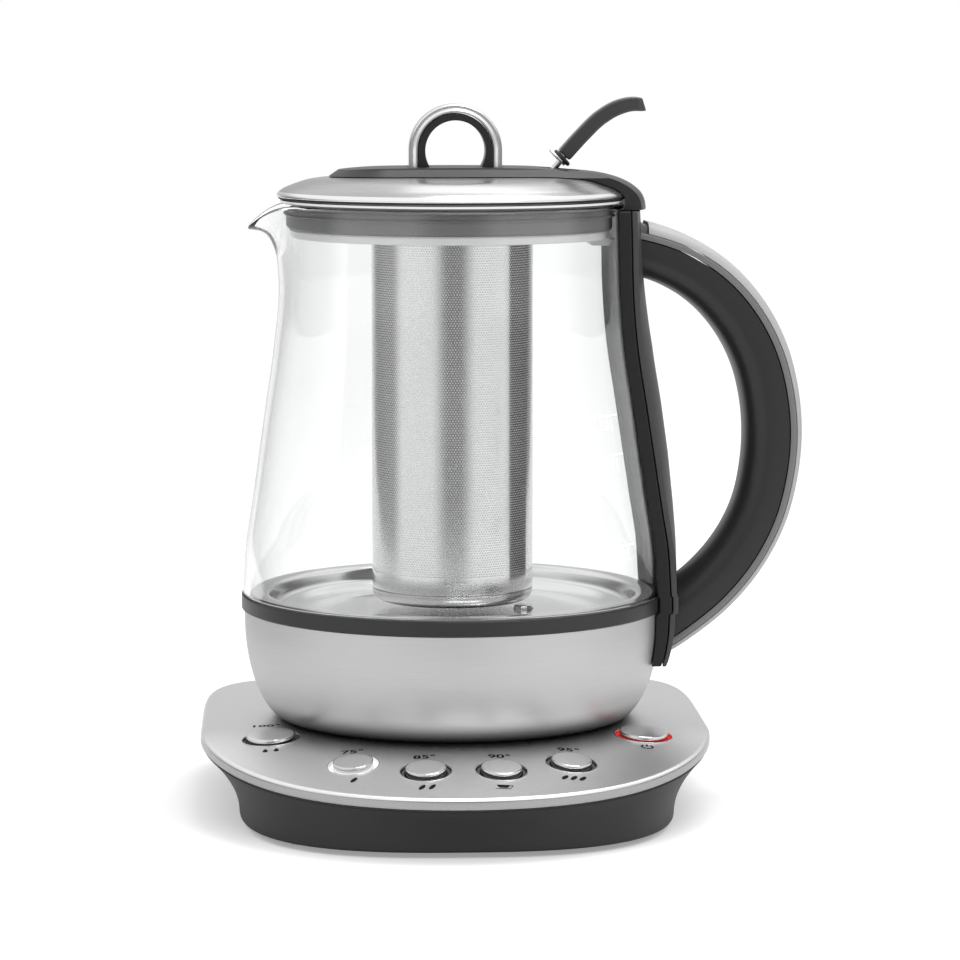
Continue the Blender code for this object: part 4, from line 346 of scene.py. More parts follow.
def darken_below(material, black, clear):
    """Fades a material's colour from 1 above clear to FOOT_SHADE below black, both heights in mm."""
    tree = material.node_tree
    shader = tree.nodes["Principled BSDF"]
    colour = shader.inputs["Base Color"].links[0].from_socket
    height = node(tree, "SeparateXYZ", {0: centred(tree)}).outputs[2]
    fade = {0: height, 1: black * MM, 2: clear * MM, 3: FOOT_SHADE, 4: 1.0}
    share = node(tree, "MapRange", fade, interpolation_type="SMOOTHSTEP")
    faded = node(tree, "VectorMath", {0: colour, "Scale": share.outputs[0]}, operation="SCALE")
    tree.links.new(faded.outputs[0], shader.inputs["Base Color"])


# painted reflection of the shade under the bowl: its steel's colour is darkened towards the foot
darken_below(BOWL_STEEL, 31.0, 40.5)
tree = PLATE_STEEL.node_tree
strokes = node(tree, "CombineXYZ", {0: 1.0})
tree.links.new(strokes.outputs[0], tree.nodes["Principled BSDF"].inputs["Tangent"])
print("the bowl's steel has", len(BOWL_STEEL.node_tree.nodes), "nodes")

# %% [markdown]
# Glass bends light by its index, about 1.47 for the heat-proof kind. The wall is modelled with its real
# thickness, so the light is bent on the way in and on the way out, and the edges darken by themselves. The
# buttons' lens rings are frosted plastic that is lit from below.

# %% Glass and lens rings
CLEAR = {"Transmission Weight": 1.0, "IOR": 1.47}
GLASS = finish("clear_glass", (0.978, 0.985, 0.982), 0.02, 0, "grain", 8, 0.004, 0, CLEAR)


def lamp(name, colour, glow):
    """Frosted plastic: the lamp below it is its emission strength."""
    return finish(name, colour, 0.35, 0, "grain", 0.3, 0.03, 0, glowing(glow, colour))


LENS_OFF = lamp("unlit_lens", (0.07, 0.07, 0.072), 0.0)
LENS_WHITE = lamp("white_lit_lens", (1.0, 1.0, 1.0), 0.5)
LENS_RED = lamp("red_lit_lens", (0.9, 0.02, 0.015), 0.3)
print(GLASS.name, "and three lens finishes:", len(bpy.data.materials), "materials")

# %% [markdown]
# A finished piece is settled: it gets its finish and the moving body that it rides, and the CAD nodes that it
# stands for are hidden. Weighted normals keep long flat faces flat to the eye beside their rounded edges. A
# piece such as a button, satin on its face and bright at its rim, gets a second look.

# %% Settling a piece
def settle(piece, look, body, slot, *nodes):
    """Gives a piece its finish and the body it rides, and hides the CAD nodes it replaces; slot is not used.
    """
    piece.data.materials.append(look)
    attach(piece, body)
    if nodes:
        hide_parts(*nodes)
    if not look.name.startswith("clear"):
        piece.modifiers.new("shading", "WEIGHTED_NORMAL").keep_sharp = True
    return piece


def lathe(name, profile, look, body, slot, *nodes, steps=200, **shape):
    """A piece turned about the jug's axis from its (radius, height) profile, and settled."""
    return settle(surface(name, turned(profile, steps), **shape), look, body, slot, *nodes)


def second_look(piece, look, chosen):
    """Gives the faces that chosen(centres, normals) picks out, in mm about the axis, another finish."""
    faces = piece.data.polygons
    centres = (np.array([face.center for face in faces]) - AXIS) / MM
    normals = np.array([face.normal for face in faces])
    piece.data.materials.append(look)
    number = len(piece.data.materials) - 1
    faces.foreach_set("material_index", np.where(chosen(centres, normals), number, 0).astype(int))
    print(piece.name, "has", len(faces), "faces, some of them with", look.name)


# %% [markdown]
# ## Camera, floor and light
# The photograph looks slightly down and slightly from the left, with a long lens. Its direction, distance and
# focal length were fitted to measured points of the jug and base. The studio is a white room with dark and
# light panels round the sides, which the upright tube mirrors as its stripes, and a greyer strip just above
# the horizon. Three softboxes give the highlights: one overhead, a small one close behind for the bright
# patch on the lid, and a wide one above the front. The floor is plain white and keeps the shadow.

# %% Camera
VIEW_AZIMUTH, VIEW_PITCH = math.radians(2.808), math.radians(6.617)
AIM, DISTANCE, FOCAL_PIXELS, FRAME_PIXELS, SENSOR = (9.829, 0, 114.761), 1384.71, 3895.06, 960, 36
look = np.array([
    math.sin(VIEW_AZIMUTH) * math.cos(VIEW_PITCH),
    math.cos(VIEW_AZIMUTH) * math.cos(VIEW_PITCH),
    -math.sin(VIEW_PITCH),
])
camera = bpy.data.objects.new("camera", bpy.data.cameras.new("camera"))
bpy.context.scene.collection.objects.link(camera)
camera.data.sensor_width = SENSOR
camera.data.lens = FOCAL_PIXELS / FRAME_PIXELS * SENSOR
camera.location = Vector(AXIS + (np.array(AIM) - look * DISTANCE) * MM)
camera.rotation_euler = Vector(look).to_track_quat("-Z", "Y").to_euler()
bpy.context.scene.camera = camera
bpy.context.scene.view_settings.view_transform = "Standard"
place = tuple(round(value, 3) for value in camera.location)
print("lens", round(camera.data.lens, 1), "mm, camera at", place)

# %% Studio light
def steps(tree, value, stops):
    """A smooth curve through (place, level) stops, as a sum of soft steps between each two."""
    total = stops[0][1]
    for (start, before), (end, after) in zip(stops, stops[1:]):
        step = {0: value, 1: start, 2: end, 3: 0.0, 4: after - before}
        rise = node(tree, "MapRange", step, interpolation_type="SMOOTHSTEP")
        total = math_node(tree, "ADD", total, rise.outputs[0])
    return total


LOW_DIP = ((0.02, 1.0), (0.08, 0.56), (0.25, 0.56), (0.5, 1.0))
AROUND = ((8, 0.25), (33, 1.2), (76, 1.2), (98, 0.3), (136, 0.2), (164, 1.0))
UPWARD = ((0.12, 0.0), (0.35, 1.0))
CEILING = 0.95
world = bpy.data.worlds.new("studio")
bpy.context.scene.world = world
world.use_nodes = True
tree = world.node_tree
tree.nodes.clear()
x, y, z = node(tree, "SeparateXYZ", {0: node(tree, "TexCoord").outputs["Generated"]}).outputs
away = math_node(tree, "ABSOLUTE", math_node(tree, "ARCTAN2", x, math_node(tree, "MULTIPLY", y, -1.0)))
around = steps(tree, away, [(math.radians(angle), level) for angle, level in AROUND])
level = node(tree, "Mix", {0: steps(tree, z, UPWARD), 2: around, 3: CEILING}).outputs[0]
level = math_node(tree, "MULTIPLY", level, steps(tree, z, LOW_DIP))
to_camera = node(tree, "LightPath").outputs["Is Camera Ray"]
strength = node(tree, "Mix", {0: to_camera, 2: level, 3: 1.0}).outputs[0]
background = node(tree, "Background", {"Color": (1, 1, 1, 1), "Strength": strength})
tree.links.new(background.outputs[0], node(tree, "OutputWorld").inputs[0])


def softbox(name, direction, distance, size, radiance):
    """A square lamp that looks at the jug. Its power is radiance x pi x area."""
    light = bpy.data.lights.new(name, "AREA")
    light.shape, light.size, light.size_y = "RECTANGLE", *size
    light.energy = radiance * math.pi * size[0] * size[1]
    box = bpy.data.objects.new(name, light)
    bpy.context.scene.collection.objects.link(box)
    way = Vector(direction).normalized()
    box.location = Vector(AXIS) + Vector((0, 0, 0.1)) + way * distance
    box.rotation_euler = way.to_track_quat("Z", "Y").to_euler()
    return box


softbox("zenith_softbox", (0.22, 0.05, 1.0), 1.0, (0.5, 0.5), 5.0)
softbox("back_softbox", (0.1, 0.45, 0.88), 0.38, (0.15, 0.1), 1.15)
softbox("front_softbox", (0.25, -0.8, 0.75), 1.6, (1.2, 0.35), 3.0)
print("lamps:", ", ".join(light.name for light in bpy.data.lights))

# %% Floor
FLOOR_HALF, FLOOR_FRONT, FLOOR_BACK = 0.68, -0.62, 3.0
PAPER_WHITE, PAPER_GLOW = 0.85, 0.3
ends = ((-1, FLOOR_FRONT), (1, FLOOR_FRONT), (1, FLOOR_BACK), (-1, FLOOR_BACK))
corners = [(side * FLOOR_HALF, y, 0) for side, y in ends]
mesh = bpy.data.meshes.new("floor")
mesh.from_pydata(corners, [], [(0, 1, 2, 3)])
floor = bpy.data.objects.new("floor", mesh)
bpy.context.scene.collection.objects.link(floor)
paper = bpy.data.materials.new("white_paper")
paper.use_nodes = True
tree = paper.node_tree
tree.nodes.clear()
matt = node(tree, "BsdfDiffuse", {"Color": (PAPER_WHITE, PAPER_WHITE, PAPER_WHITE, 1)})
path = node(tree, "LightPath").outputs
seen = math_node(tree, "MAXIMUM", path["Is Camera Ray"], path["Is Transmission Ray"])
glow = node(tree, "Emission", {"Strength": math_node(tree, "MULTIPLY", seen, PAPER_GLOW)})
both = node(tree, "AddShader", {0: matt.outputs[0], 1: glow.outputs[0]})
tree.links.new(both.outputs[0], node(tree, "OutputMaterial").inputs[0])
mesh.materials.append(paper)
print("the floor is", 2 * FLOOR_HALF, "m wide")

# %% [markdown]
# ## Base: the steel top plate
# On the real base this is one pressed sheet of steel: level under the jug, falling towards the buttons, and
# rolled down over the wall at its edge. Its outline is an ellipse in front and nearly square behind. A
# subdivided cage would need many loops to hold that rolled edge, so the plate is drawn as rings instead: a
# flat seat, a slope whose fall grows with distance from the seat, and an edge of quarter circles.

# %% Plan lines of the base
CENTRE_Y = -22.5
PLATE_HALF, PLATE_FRONT, PLATE_BACK = 89.5, 112, 88
SEAT_Z, SEAT_RADIUS, HUB_RADIUS = 31.0, 63.0, 9.8
LIP_ROUND, LIP_HEIGHT, SHEET = 1.6, 4.2, 1.2
EDGE_LOW, EDGE_RISE, EDGE_RUN = 22.1, 7.6, 92
FALL_POWER = 1.4
COLUMNS = 288
ROUND = np.arange(COLUMNS) * 2 * math.pi / COLUMNS


def plan(half_width, front, back, front_power, back_power, angle=ROUND):
    """|x/a|^n + |y/b|^n = 1 about the front arc's centre, with its own depth b and power n behind."""
    across, along = np.cos(angle), np.sin(angle)
    power = np.where(along < 0, front_power, back_power)
    reach = np.where(along < 0, front + CENTRE_Y, back - CENTRE_Y)
    share = (np.abs(across) ** power + np.abs(along) ** power) ** (-1 / power)
    return np.column_stack([half_width * across * share, CENTRE_Y + reach * along * share])


def lip(inset):
    """The plate's outline, moved in by an inset: an ellipse in front, nearly square behind."""
    return plan(PLATE_HALF - inset, PLATE_FRONT - inset, PLATE_BACK - inset, 2.0, 6.0)


def edge_height(y):
    """The height of the plate's edge, which rises from the front to the sides and back."""
    return EDGE_LOW + EDGE_RISE * smoothstep((y + PLATE_FRONT) / EDGE_RUN)


def plate_height(x, y):
    """The plate's top at a place: level on the seat, then falling with a power of the way to the edge."""
    edge = lip(LIP_ROUND)
    angles = np.arctan2(edge[:, 1], edge[:, 0])
    order = np.argsort(angles)
    here = np.arctan2(y, x)
    reach = np.interp(here, angles[order], np.hypot(*edge[order].T), period=2 * math.pi)
    edge_z = np.interp(here, angles[order], edge_height(edge[order, 1]), period=2 * math.pi)
    share = np.clip((np.hypot(x, y) - SEAT_RADIUS) / (reach - SEAT_RADIUS), 0, 1)
    return SEAT_Z - (SEAT_Z - edge_z) * share**FALL_POWER


def ring(flat, z):
    """A flat line of (x, y) points at a height, or with a height for each."""
    return np.column_stack([flat, np.broadcast_to(z, len(flat))])


def plate_rows(shares, drop):
    """Rings between the seat's circle (0) and the edge (1)."""
    edge = lip(LIP_ROUND)
    seat = SEAT_RADIUS * unit(edge)
    fall = SEAT_Z - edge_height(edge[:, 1])
    return [ring(seat + (edge - seat) * share, SEAT_Z - fall * share**FALL_POWER - drop) for share in shares]


print("the plate's height at the front edge is", round(float(plate_height(0, -110)), 2), "mm")

# %% The top plate
CURL = ((0, 3.4), (0.12, 3.85), (0.45, 4.15), (0.9, 4.2), (1.5, 4.2), (1.6, 4.0))


def make_top_plate():
    """Rings from the hub over the seat, the slope and the rolled edge, and back under the sheet."""
    edge = lip(LIP_ROUND)
    z = edge_height(edge[:, 1])
    hub = [ring(radius * unit(edge), SEAT_Z) for radius in (HUB_RADIUS, 30, 60)]
    turn = np.radians(np.linspace(15, 90, 6))
    over = [ring(lip(LIP_ROUND * (1 - math.sin(a))), z - LIP_ROUND * (1 - math.cos(a))) for a in turn]
    curl = [ring(lip(inset), z - drop) for inset, drop in CURL]
    inside = [ring(lip(SHEET + 0.4), z - SHEET - 0.8)]
    under = plate_rows((0.97, 0.75, 0.5, 0.25, 0), SHEET)
    under.append(ring(HUB_RADIUS * unit(edge), SEAT_Z - SHEET))
    rows = hub + plate_rows(np.linspace(0, 1, 22), 0) + over + curl + inside + under
    return surface("steel_top_plate", np.stack(rows), sharp=50)


top_plate = make_top_plate()
print("the top plate has", len(top_plate.data.polygons), "faces")

# %% [markdown]
# ## Base: the buttons
# Six sprung caps stand in round wells. On the real base the wells are punched, which leaves a thin bright
# edge. Here a cylinder along the plate's slope cuts each well with a Boolean, a thin rolled ring makes the
# bright edge, and a lens ring lies in the well, where a lamp can light it: red at the switch, white at the
# chosen temperature.

# %% Button places
BUTTONS = (
    ("100", -73, True), ("75", -33, False), ("85", -10.8, False),
    ("90", 10.8, False), ("95", 33, False), ("power", 73, True),
)
BUTTON_CIRCLE = 67.7
SMALL_CAP, LARGE_CAP = 6.9, 8.5
SMALL_WELL, LARGE_WELL = 8.75, 10.0


def button_place(angle):
    """The button's point on the plate and the plate's normal there, from its slope over a small cap."""
    x = BUTTON_CIRCLE * math.sin(math.radians(angle))
    y = CENTRE_Y - BUTTON_CIRCLE * math.cos(math.radians(angle))
    step = SMALL_CAP
    rise_x = float(plate_height(x + step, y) - plate_height(x - step, y))
    rise_y = float(plate_height(x, y + step) - plate_height(x, y - step))
    normal = unit(np.array([-rise_x / (2 * step), -rise_y / (2 * step), 1.0]))
    return np.array([x, y, float(plate_height(x, y))]), normal


def cut(piece, cutters, operation="DIFFERENCE"):
    """The piece with the cutters taken away, or only what lies in them, kept as a plain mesh."""
    for cutter in cutters:
        step = piece.modifiers.new(cutter.name, "BOOLEAN")
        step.operation, step.object, step.solver = operation, cutter, "EXACT"
    graph = bpy.context.evaluated_depsgraph_get()
    made = bpy.data.meshes.new_from_object(piece.evaluated_get(graph))
    piece.modifiers.clear()
    piece.data = made
    made.set_sharp_from_angle(angle=math.radians(40))
    for cutter in cutters:
        bpy.data.objects.remove(cutter)


def on_rolled_edge(centres, normals):
    """The upright faces at the plate's outside, for the painted shade; not those of the wells."""
    upright = (np.abs(normals[:, 2]) < 0.3) & (centres[:, 2] < SEAT_Z - 2)
    return upright & (np.hypot(*centres[:, :2].T) > 86)


wells = []
for name, angle, large in BUTTONS:
    radius = LARGE_WELL if large else SMALL_WELL
    wells.append(drill("well_" + name, radius, 6, *button_place(angle)))
cut(top_plate, wells)
settle(top_plate, PLATE_STEEL, "base", "brushed_steel", "base_top_plate")
# painted shade: the rolled edge's upright faces get the darker steel
second_look(top_plate, LIP_SHADED_STEEL, on_rolled_edge)
print("the first button stands at", button_place(-73)[0].round(2))

# %% Caps, lens rings and well edges
SWITCH_TOP, PRESS, STEM_GAP = 16.3, 1.5, 0.3
LENSES = {"power": LENS_RED, "75": LENS_WHITE}


def make_button(name, angle, large):
    """The cap with flange and stem, its lens ring and the bright edge of its well."""
    point, normal = button_place(angle)
    cap, well = (LARGE_CAP, LARGE_WELL) if large else (SMALL_CAP, SMALL_WELL)
    reach = (point[2] - SWITCH_TOP - PRESS - STEM_GAP) / normal[2]
    face = [
        (0, 1.9), (cap * 0.3, 1.89), (cap * 0.55, 1.85), (cap * 0.8, 1.75), (cap - 0.9, 1.7),
        (cap - 0.45, 1.62),
    ]
    rim = [(cap - 0.18, 1.53), (cap - 0.04, 1.38), (cap, 1.2), (cap, 0.9), (cap, -3.6)]
    stem = [(cap + 1, -3.6), (cap + 1, -4.6), (2, -4.6), (2, -reach), (0, -reach)]
    piece = spun("cap_" + name, face + rim + stem, point, normal, loop=False, sharp=30)
    settle(piece, CAP_FACE, f"button_{name}", "chrome", f"button_{name}")

    def on_rim(centres, normals):
        """The faces at the cap's side, by their distance from the button's axis."""
        away = centres - point
        return np.linalg.norm(away - np.outer(away @ normal, normal), axis=1) > cap - 0.4

    second_look(piece, POLISHED, on_rim)
    inside, outside, edge = cap + 0.35, well + 1.3, well - 0.3
    lens = rounded(
        [(edge, -0.8), (edge, -2.1), (outside, -2.1), (outside, -3.3), (inside, -3.3), (inside, -0.8)],
        [0.2, 0, 0, 0, 0, 0.2],
    )
    lens = spun("lens_" + name, lens, point, normal)
    settle(lens, LENSES.get(name, LENS_OFF), "base", "lens", f"light_ring_{name}")
    inside, outside = well - 0.12, well + 0.28
    edge = rounded([(inside, -0.9), (outside, -0.9), (outside, 0.12), (inside, 0.12)], 0.15)
    settle(spun("well_edge_" + name, edge, point, normal), POLISHED, "base", "chrome")


for entry in BUTTONS:
    make_button(*entry)
print(len(BUTTONS), "buttons")

# %% [markdown]
# ## Base: the print on the plate
# The real plate is screen-printed. Temperatures stand behind the caps. The words in front of them aren't
# copied: small signs say the same, a drop for hot water, leaves for the teas, a cup for herb tea and the
# usual switch sign. Text and outlines become flat meshes that are laid on the plate, each point lifted
# 0.03 mm above its surface.

# %% Flat outlines and text
PRINT_LIFT = 0.03


def text_points(text, size, weight=0.06):
    """The points and faces of a line of text, in millimetres about its middle."""
    curve = bpy.data.curves.new("text", "FONT")
    curve.body, curve.size, curve.align_x, curve.align_y = text, size, "CENTER", "CENTER"
    curve.resolution_u, curve.offset = 3, weight
    source = bpy.data.objects.new("text", curve)
    bpy.context.scene.collection.objects.link(source)
    graph = bpy.context.evaluated_depsgraph_get()
    mesh = bpy.data.meshes.new_from_object(source.evaluated_get(graph))
    points = np.zeros(len(mesh.vertices) * 3)
    mesh.vertices.foreach_get("co", points)
    faces = [tuple(face.vertices) for face in mesh.polygons]
    bpy.data.objects.remove(source)
    return points.reshape(-1, 3)[:, :2], faces


def joined(parts):
    """Several flat outlines as one list of points and one of faces."""
    points, faces = [], []
    for flat, cells in parts:
        start = sum(map(len, points))
        points.append(np.asarray(flat, float))
        faces += [[index + start for index in cell] for cell in cells]
    return np.vstack(points), faces


def on_plate(name, parts, x, y, stretch=1.0):
    """Lays flat parts on the plate about a place, stretched across."""
    points, faces = joined(parts)
    points = points * (stretch, 1) + (x, y)
    lifted = np.column_stack([points, plate_height(*points.T) + PRINT_LIFT])
    settle(mesh_piece(name, lifted, faces), INK, "base", "black_plastic")


def band(line, width):
    """A line of a width as a strip of quads, closed where its ends meet."""
    line = np.asarray(line, float)
    sides = np.vstack([offset(line, width / 2), offset(line, -width / 2)])
    count, index = len(line), np.arange(len(line) - 1)
    return sides, np.stack([index, index + 1, index + 1 + count, index + count], -1).tolist()


def filled(outline):
    """A closed outline as one flat face."""
    outline = np.asarray(outline, float)
    return outline, [list(range(len(outline)))]


print("the number 75 has", len(text_points("75", 4.7)[0]), "points")


# %% Signs
def circle(x, y, radius, start=0, end=360, count=25):
    """Points round a circle or an arc, counted from the right against the clock, in degrees."""
    angle = np.radians(np.linspace(start, end, count))
    return np.column_stack([x + radius * np.cos(angle), y + radius * np.sin(angle)])


def drop_sign(x=0.0):
    """A drop: a circle drawn up to a point."""
    turn = np.linspace(0, 2 * math.pi, 33)[:-1]
    return filled(np.column_stack([x + 1.25 * np.sin(turn) * np.sin(turn / 2) ** 1.4, 1.9 * np.cos(turn)]))


def leaf_sign(x=0.0, lean=0.5):
    """A leaf: two arcs from tip to tip, leaning over."""
    share = np.linspace(0, math.pi, 15)
    side = np.column_stack([0.85 * np.sin(share), -2 * np.cos(share)])
    flat = np.vstack([side, -side[1:-1]])
    turn = np.array([[math.cos(lean), -math.sin(lean)], [math.sin(lean), math.cos(lean)]])
    return filled(flat @ turn + (x, 0))


def cup_sign():
    """A cup with a handle and a saucer."""
    bowl = [(-2.2, 1.2), (2.2, 1.2), (1.9, -0.2), (1.1, -1.1), (-1.1, -1.1), (-1.9, -0.2)]
    handle = band(circle(2.3, 0.3, 0.8, -100, 90, 13), 0.35)
    saucer = band([(-2.6, -1.7), (0, -1.7), (2.6, -1.7)], 0.4)
    return [filled(bowl), handle, saucer]


def switch_sign():
    """A ring open at the top with a bar in it."""
    return [band(circle(0, 0, 1.9, 125, 415, 25), 0.7), band([(0, 0.2), (0, 1.3), (0, 2.5)], 0.7)]


SIGNS = {
    "100": [drop_sign(-1.9), drop_sign(1.9)],
    "75": [leaf_sign()],
    "85": [leaf_sign(-1.7), leaf_sign(1.7)],
    "90": cup_sign(),
    "95": [leaf_sign(-3.0), leaf_sign(), leaf_sign(3.0)],
    "power": switch_sign(),
}
NUMBER_SIZE, NUMBER_WEIGHT, NUMBER_STRETCH = 4.7, 0.12, 1.2
for name, angle, large in BUTTONS:
    (x, y, _), _ = button_place(angle)
    aside, behind, before = (2, 20.0, 14.0) if large else (0, 12.8, 12.8)
    if name != "power":
        number = [text_points(name + "°", NUMBER_SIZE, NUMBER_WEIGHT)]
        on_plate("print_" + name, number, x - aside, y + behind, NUMBER_STRETCH)
    on_plate("sign_" + name, SIGNS[name], x, y - before)
print("prints:", ", ".join(SIGNS))

# %% [markdown]
# ## Base: wall, pan, feet and gland
# The wall is black moulded plastic that flares out under the plate's edge, with a thin dark gap between the
# two. It is a loft between the foot's outline and the lip's. A black rubber ring lies in the gap, set back:
# painted shade that keeps the gap a dark line and lets no light from the lenses come out there. The bottom
# pan, screws and boards are only seen from below or not at all, so their CAD meshes stay and get a finish.

# %% The wall
WALL_FOOT, WALL_INSET, WALL_GAP, WALL_FLARE = 2.0, 0.8, 0.8, 2.2
GLAND_PLACE, BACKWARDS = (0, 0, 10.7), (0, 1, 0)


def foot(inset):
    """The wall's outline on the floor, moved in by an inset."""
    return plan(76 - inset, 104 - inset, 79 - inset, 2.7, 5.0)


def wall_rows(shares, inset):
    """Rings from the wall's foot (0) to the lip (1): the width grows with a power of the height."""
    low, high = foot(inset), lip(WALL_INSET + inset)
    rise = edge_height(lip(LIP_ROUND)[:, 1]) - LIP_HEIGHT - WALL_GAP - WALL_FOOT
    return [ring(low + (high - low) * share**WALL_FLARE, WALL_FOOT + rise * share) for share in shares]


def make_wall():
    """Rounded foot, outer side up, inner side down, and a hole behind for the cord's gland."""
    rounding = ((1.6, 2.0), (0.9, 2.0), (0.35, 2.12), (0.08, 2.5))
    bottom = [ring(foot(inset), height) for inset, height in rounding]
    outer = wall_rows(np.linspace(0.05, 1, 24), 0)
    inner = wall_rows(np.linspace(1, 0, 12), 2.2)
    wall = surface("black_wall", np.stack(bottom + outer + inner), sharp=50)
    x, y, z = GLAND_PLACE
    cut(wall, [drill("gland_cut", 4.5, 8, (x, y + 79, z), BACKWARDS, 48)])
    return settle(wall, BLACK, "base", "black_plastic", "base_wall")


wall = make_wall()
print("the wall has", len(wall.data.polygons), "faces")

# %% Shadow ring and gland
# painted shade: a black rubber ring set back in the gap under the lip keeps it a dark line
LIP_GAP_SHADE_RING = ((0.95, 0.1), (0.95, 0.75), (2.4, 0.75), (2.4, 0.1))
below_lip = edge_height(lip(LIP_ROUND)[:, 1]) - LIP_HEIGHT
gap_shade_rows = [ring(lip(inset), below_lip - drop) for inset, drop in LIP_GAP_SHADE_RING]
settle(surface("lip_gap_shadow_ring", np.stack(gap_shade_rows)), RUBBER, "base", "black_plastic")
collar = [(3.2, 87.5), (4.5, 87.5), (5.2, 82), (4.2, 82), (4.2, 76.5), (5.2, 76.5), (5.2, 74.9), (3.2, 74.9)]
gland = spun("gland", rounded(collar, [0.4, 0.7, 0.3, 0, 0, 0.2, 0.2, 0.2]), GLAND_PLACE, BACKWARDS)
settle(gland, RUBBER, "base", "black_plastic", "cord_gland")
print("the gland sticks out to", collar[0][1], "mm behind the axis")

# %% [markdown]
# Kept CAD meshes only need a material. The connector's tower shows when the jug is lifted, so it is made
# finer: a rounded black post with metal contact rings.

# %% Kept nodes of the base, and the connector
def keep(look, *names):
    """Dresses CAD nodes that stay as they are."""
    for name in names:
        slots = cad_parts[name].data.materials
        slots.clear()
        slots.append(look)


keep(BLACK, "base_pan")
keep(RUBBER, "foot_1", "foot_2", "foot_3", "foot_4")
keep(ZINC, "pan_screw_1", "pan_screw_2", "pan_screw_3", "pan_screw_4")
keep(ZINC, "handle_screw_upper", "handle_screw_lower", "lever_pin")
keep(BOARD, "control_board", "power_board")
tower = rounded(
    [(0, 44.5), (9.5, 44.5), (9.5, 29.5), (19, 29.5), (19, 26.5), (14.5, 26.5), (14.5, 13), (0, 13)],
    [0, 1.6, 0, 0, 0, 0, 0.5, 0], closed=False,
)
lathe(
    "connector_tower", tower, CONNECTOR, "base", "connector_plastic", "base_connector", steps=96, loop=False,
)
for number, height in enumerate((34.5, 38.5)):
    low, high = height - 0.8, height + 0.8
    contact = rounded([(9.45, low), (9.62, low), (9.62, high), (9.45, high)], 0.05, steps=2)
    lathe(f"contact_ring_{number + 1}", contact, POLISHED, "base", "chrome", steps=96)
print("the tower is", tower[:, 1].max(), "mm high")

# %% [markdown]
# ## Jug: bowl, ring band and seal
# The bowl is spun from sheet steel and finely turned. A black ring band sits on it and carries the glass on
# a silicone seal. Each is one closed profile, turned: the outer line from a smooth curve through measured
# points, the inner line a sheet's thickness inside it.

# %% Bowl, band and seal
BOWL_LINE = [
    (74, 69.7), (73.7, 60.1), (72.3, 50.5), (69.5, 41.67), (65.56, 34.76), (62.9, 32.07), (61.05, 31.3),
]
BOWL_SHEET = 1.0


def make_bowl():
    """The outer curve, a turned-in foot edge, and the inner curve a sheet's thickness inside."""
    outer = smooth_line(BOWL_LINE, 70)
    inner = offset(outer, BOWL_SHEET)
    inner[0, 1] = BOWL_LINE[0][1]
    inner = inner[inner[:, 1] > 32.2]
    foot_edge = rounded(
        [(61.05, 31.3), (58.46, 31.3), (58.46, 32.3), (60.6, 32.3)], [0, 0.3, 0.3, 0], closed=False,
    )
    profile = np.vstack([outer[:-1], foot_edge, inner[::-1]])
    lathe("steel_bowl", profile, BOWL_STEEL, "jug", "brushed_steel", "bowl_shell", steps=240, sharp=45)
    return profile


profile = make_bowl()
band_line = rounded(
    [(75, 75.1), (75, 70), (66.9, 70), (66.9, 75), (71.92, 75), (71.92, 73.6), (74.27, 73.6), (74.27, 75.1)],
    [0.35, 0.35, 0.2, 0.2, 0, 0, 0, 0.1],
)
lathe("ring_band_body", band_line, DARK, "jug", "dark_grey_plastic", "ring_band")
seal = rounded([(73.97, 75.4), (73.97, 73.9), (72.2, 73.9), (72.2, 75.4)], [0.3, 0.1, 0.1, 0.3])
lathe("glass_seal_ring", seal, SILICONE, "jug", "grey_silicone", "glass_seal")
print("the bowl is", round(2 * float(profile[:, 0].max()), 1), "mm wide")

# %% [markdown]
# ## Jug: the glass
# The real body is blown and its rim pulled out to a spout while soft. Here the wall's outer line is a smooth
# curve; at the spout a second curve leans out, and each column blends between the two with cos^2 of its
# angle from the spout. The wall is 2.4 mm thick, thinner where it was pulled, and its rim is fire-rounded.

# %% The glass body
GLASS_Z, GLASS_HEIGHT, GLASS_RADIUS, GLASS_WALL = 75.7, 137.3, 74.5, 2.4
GLASS_SHARES = np.array([
    (0, 1), (0.126, 0.985), (0.229, 0.956), (0.359, 0.921), (0.49, 0.886), (0.636, 0.847), (0.818, 0.824),
    (0.88, 0.822), (0.945, 0.819), (1, 0.816),
])
SPOUT_SHARES = np.vstack([GLASS_SHARES[:-4], [(0.818, 0.824), (0.88, 0.838), (0.925, 0.885), (0.936, 0.974)]])
SPOUT_HALF = math.radians(27)

def glass_lines(rows):
    """The plain line and the spout's line, (height, radius) in millimetres at the same steps."""
    scale = np.array([GLASS_HEIGHT, GLASS_RADIUS])
    place = np.array([GLASS_Z, 0])
    return [smooth_line(shares * scale, rows) + place for shares in (GLASS_SHARES, SPOUT_SHARES)]


def glass_radius(height):
    """The plain wall's outer radius at a height."""
    line = glass_lines(200)[0]
    return np.interp(height, line[:, 0], line[:, 1])


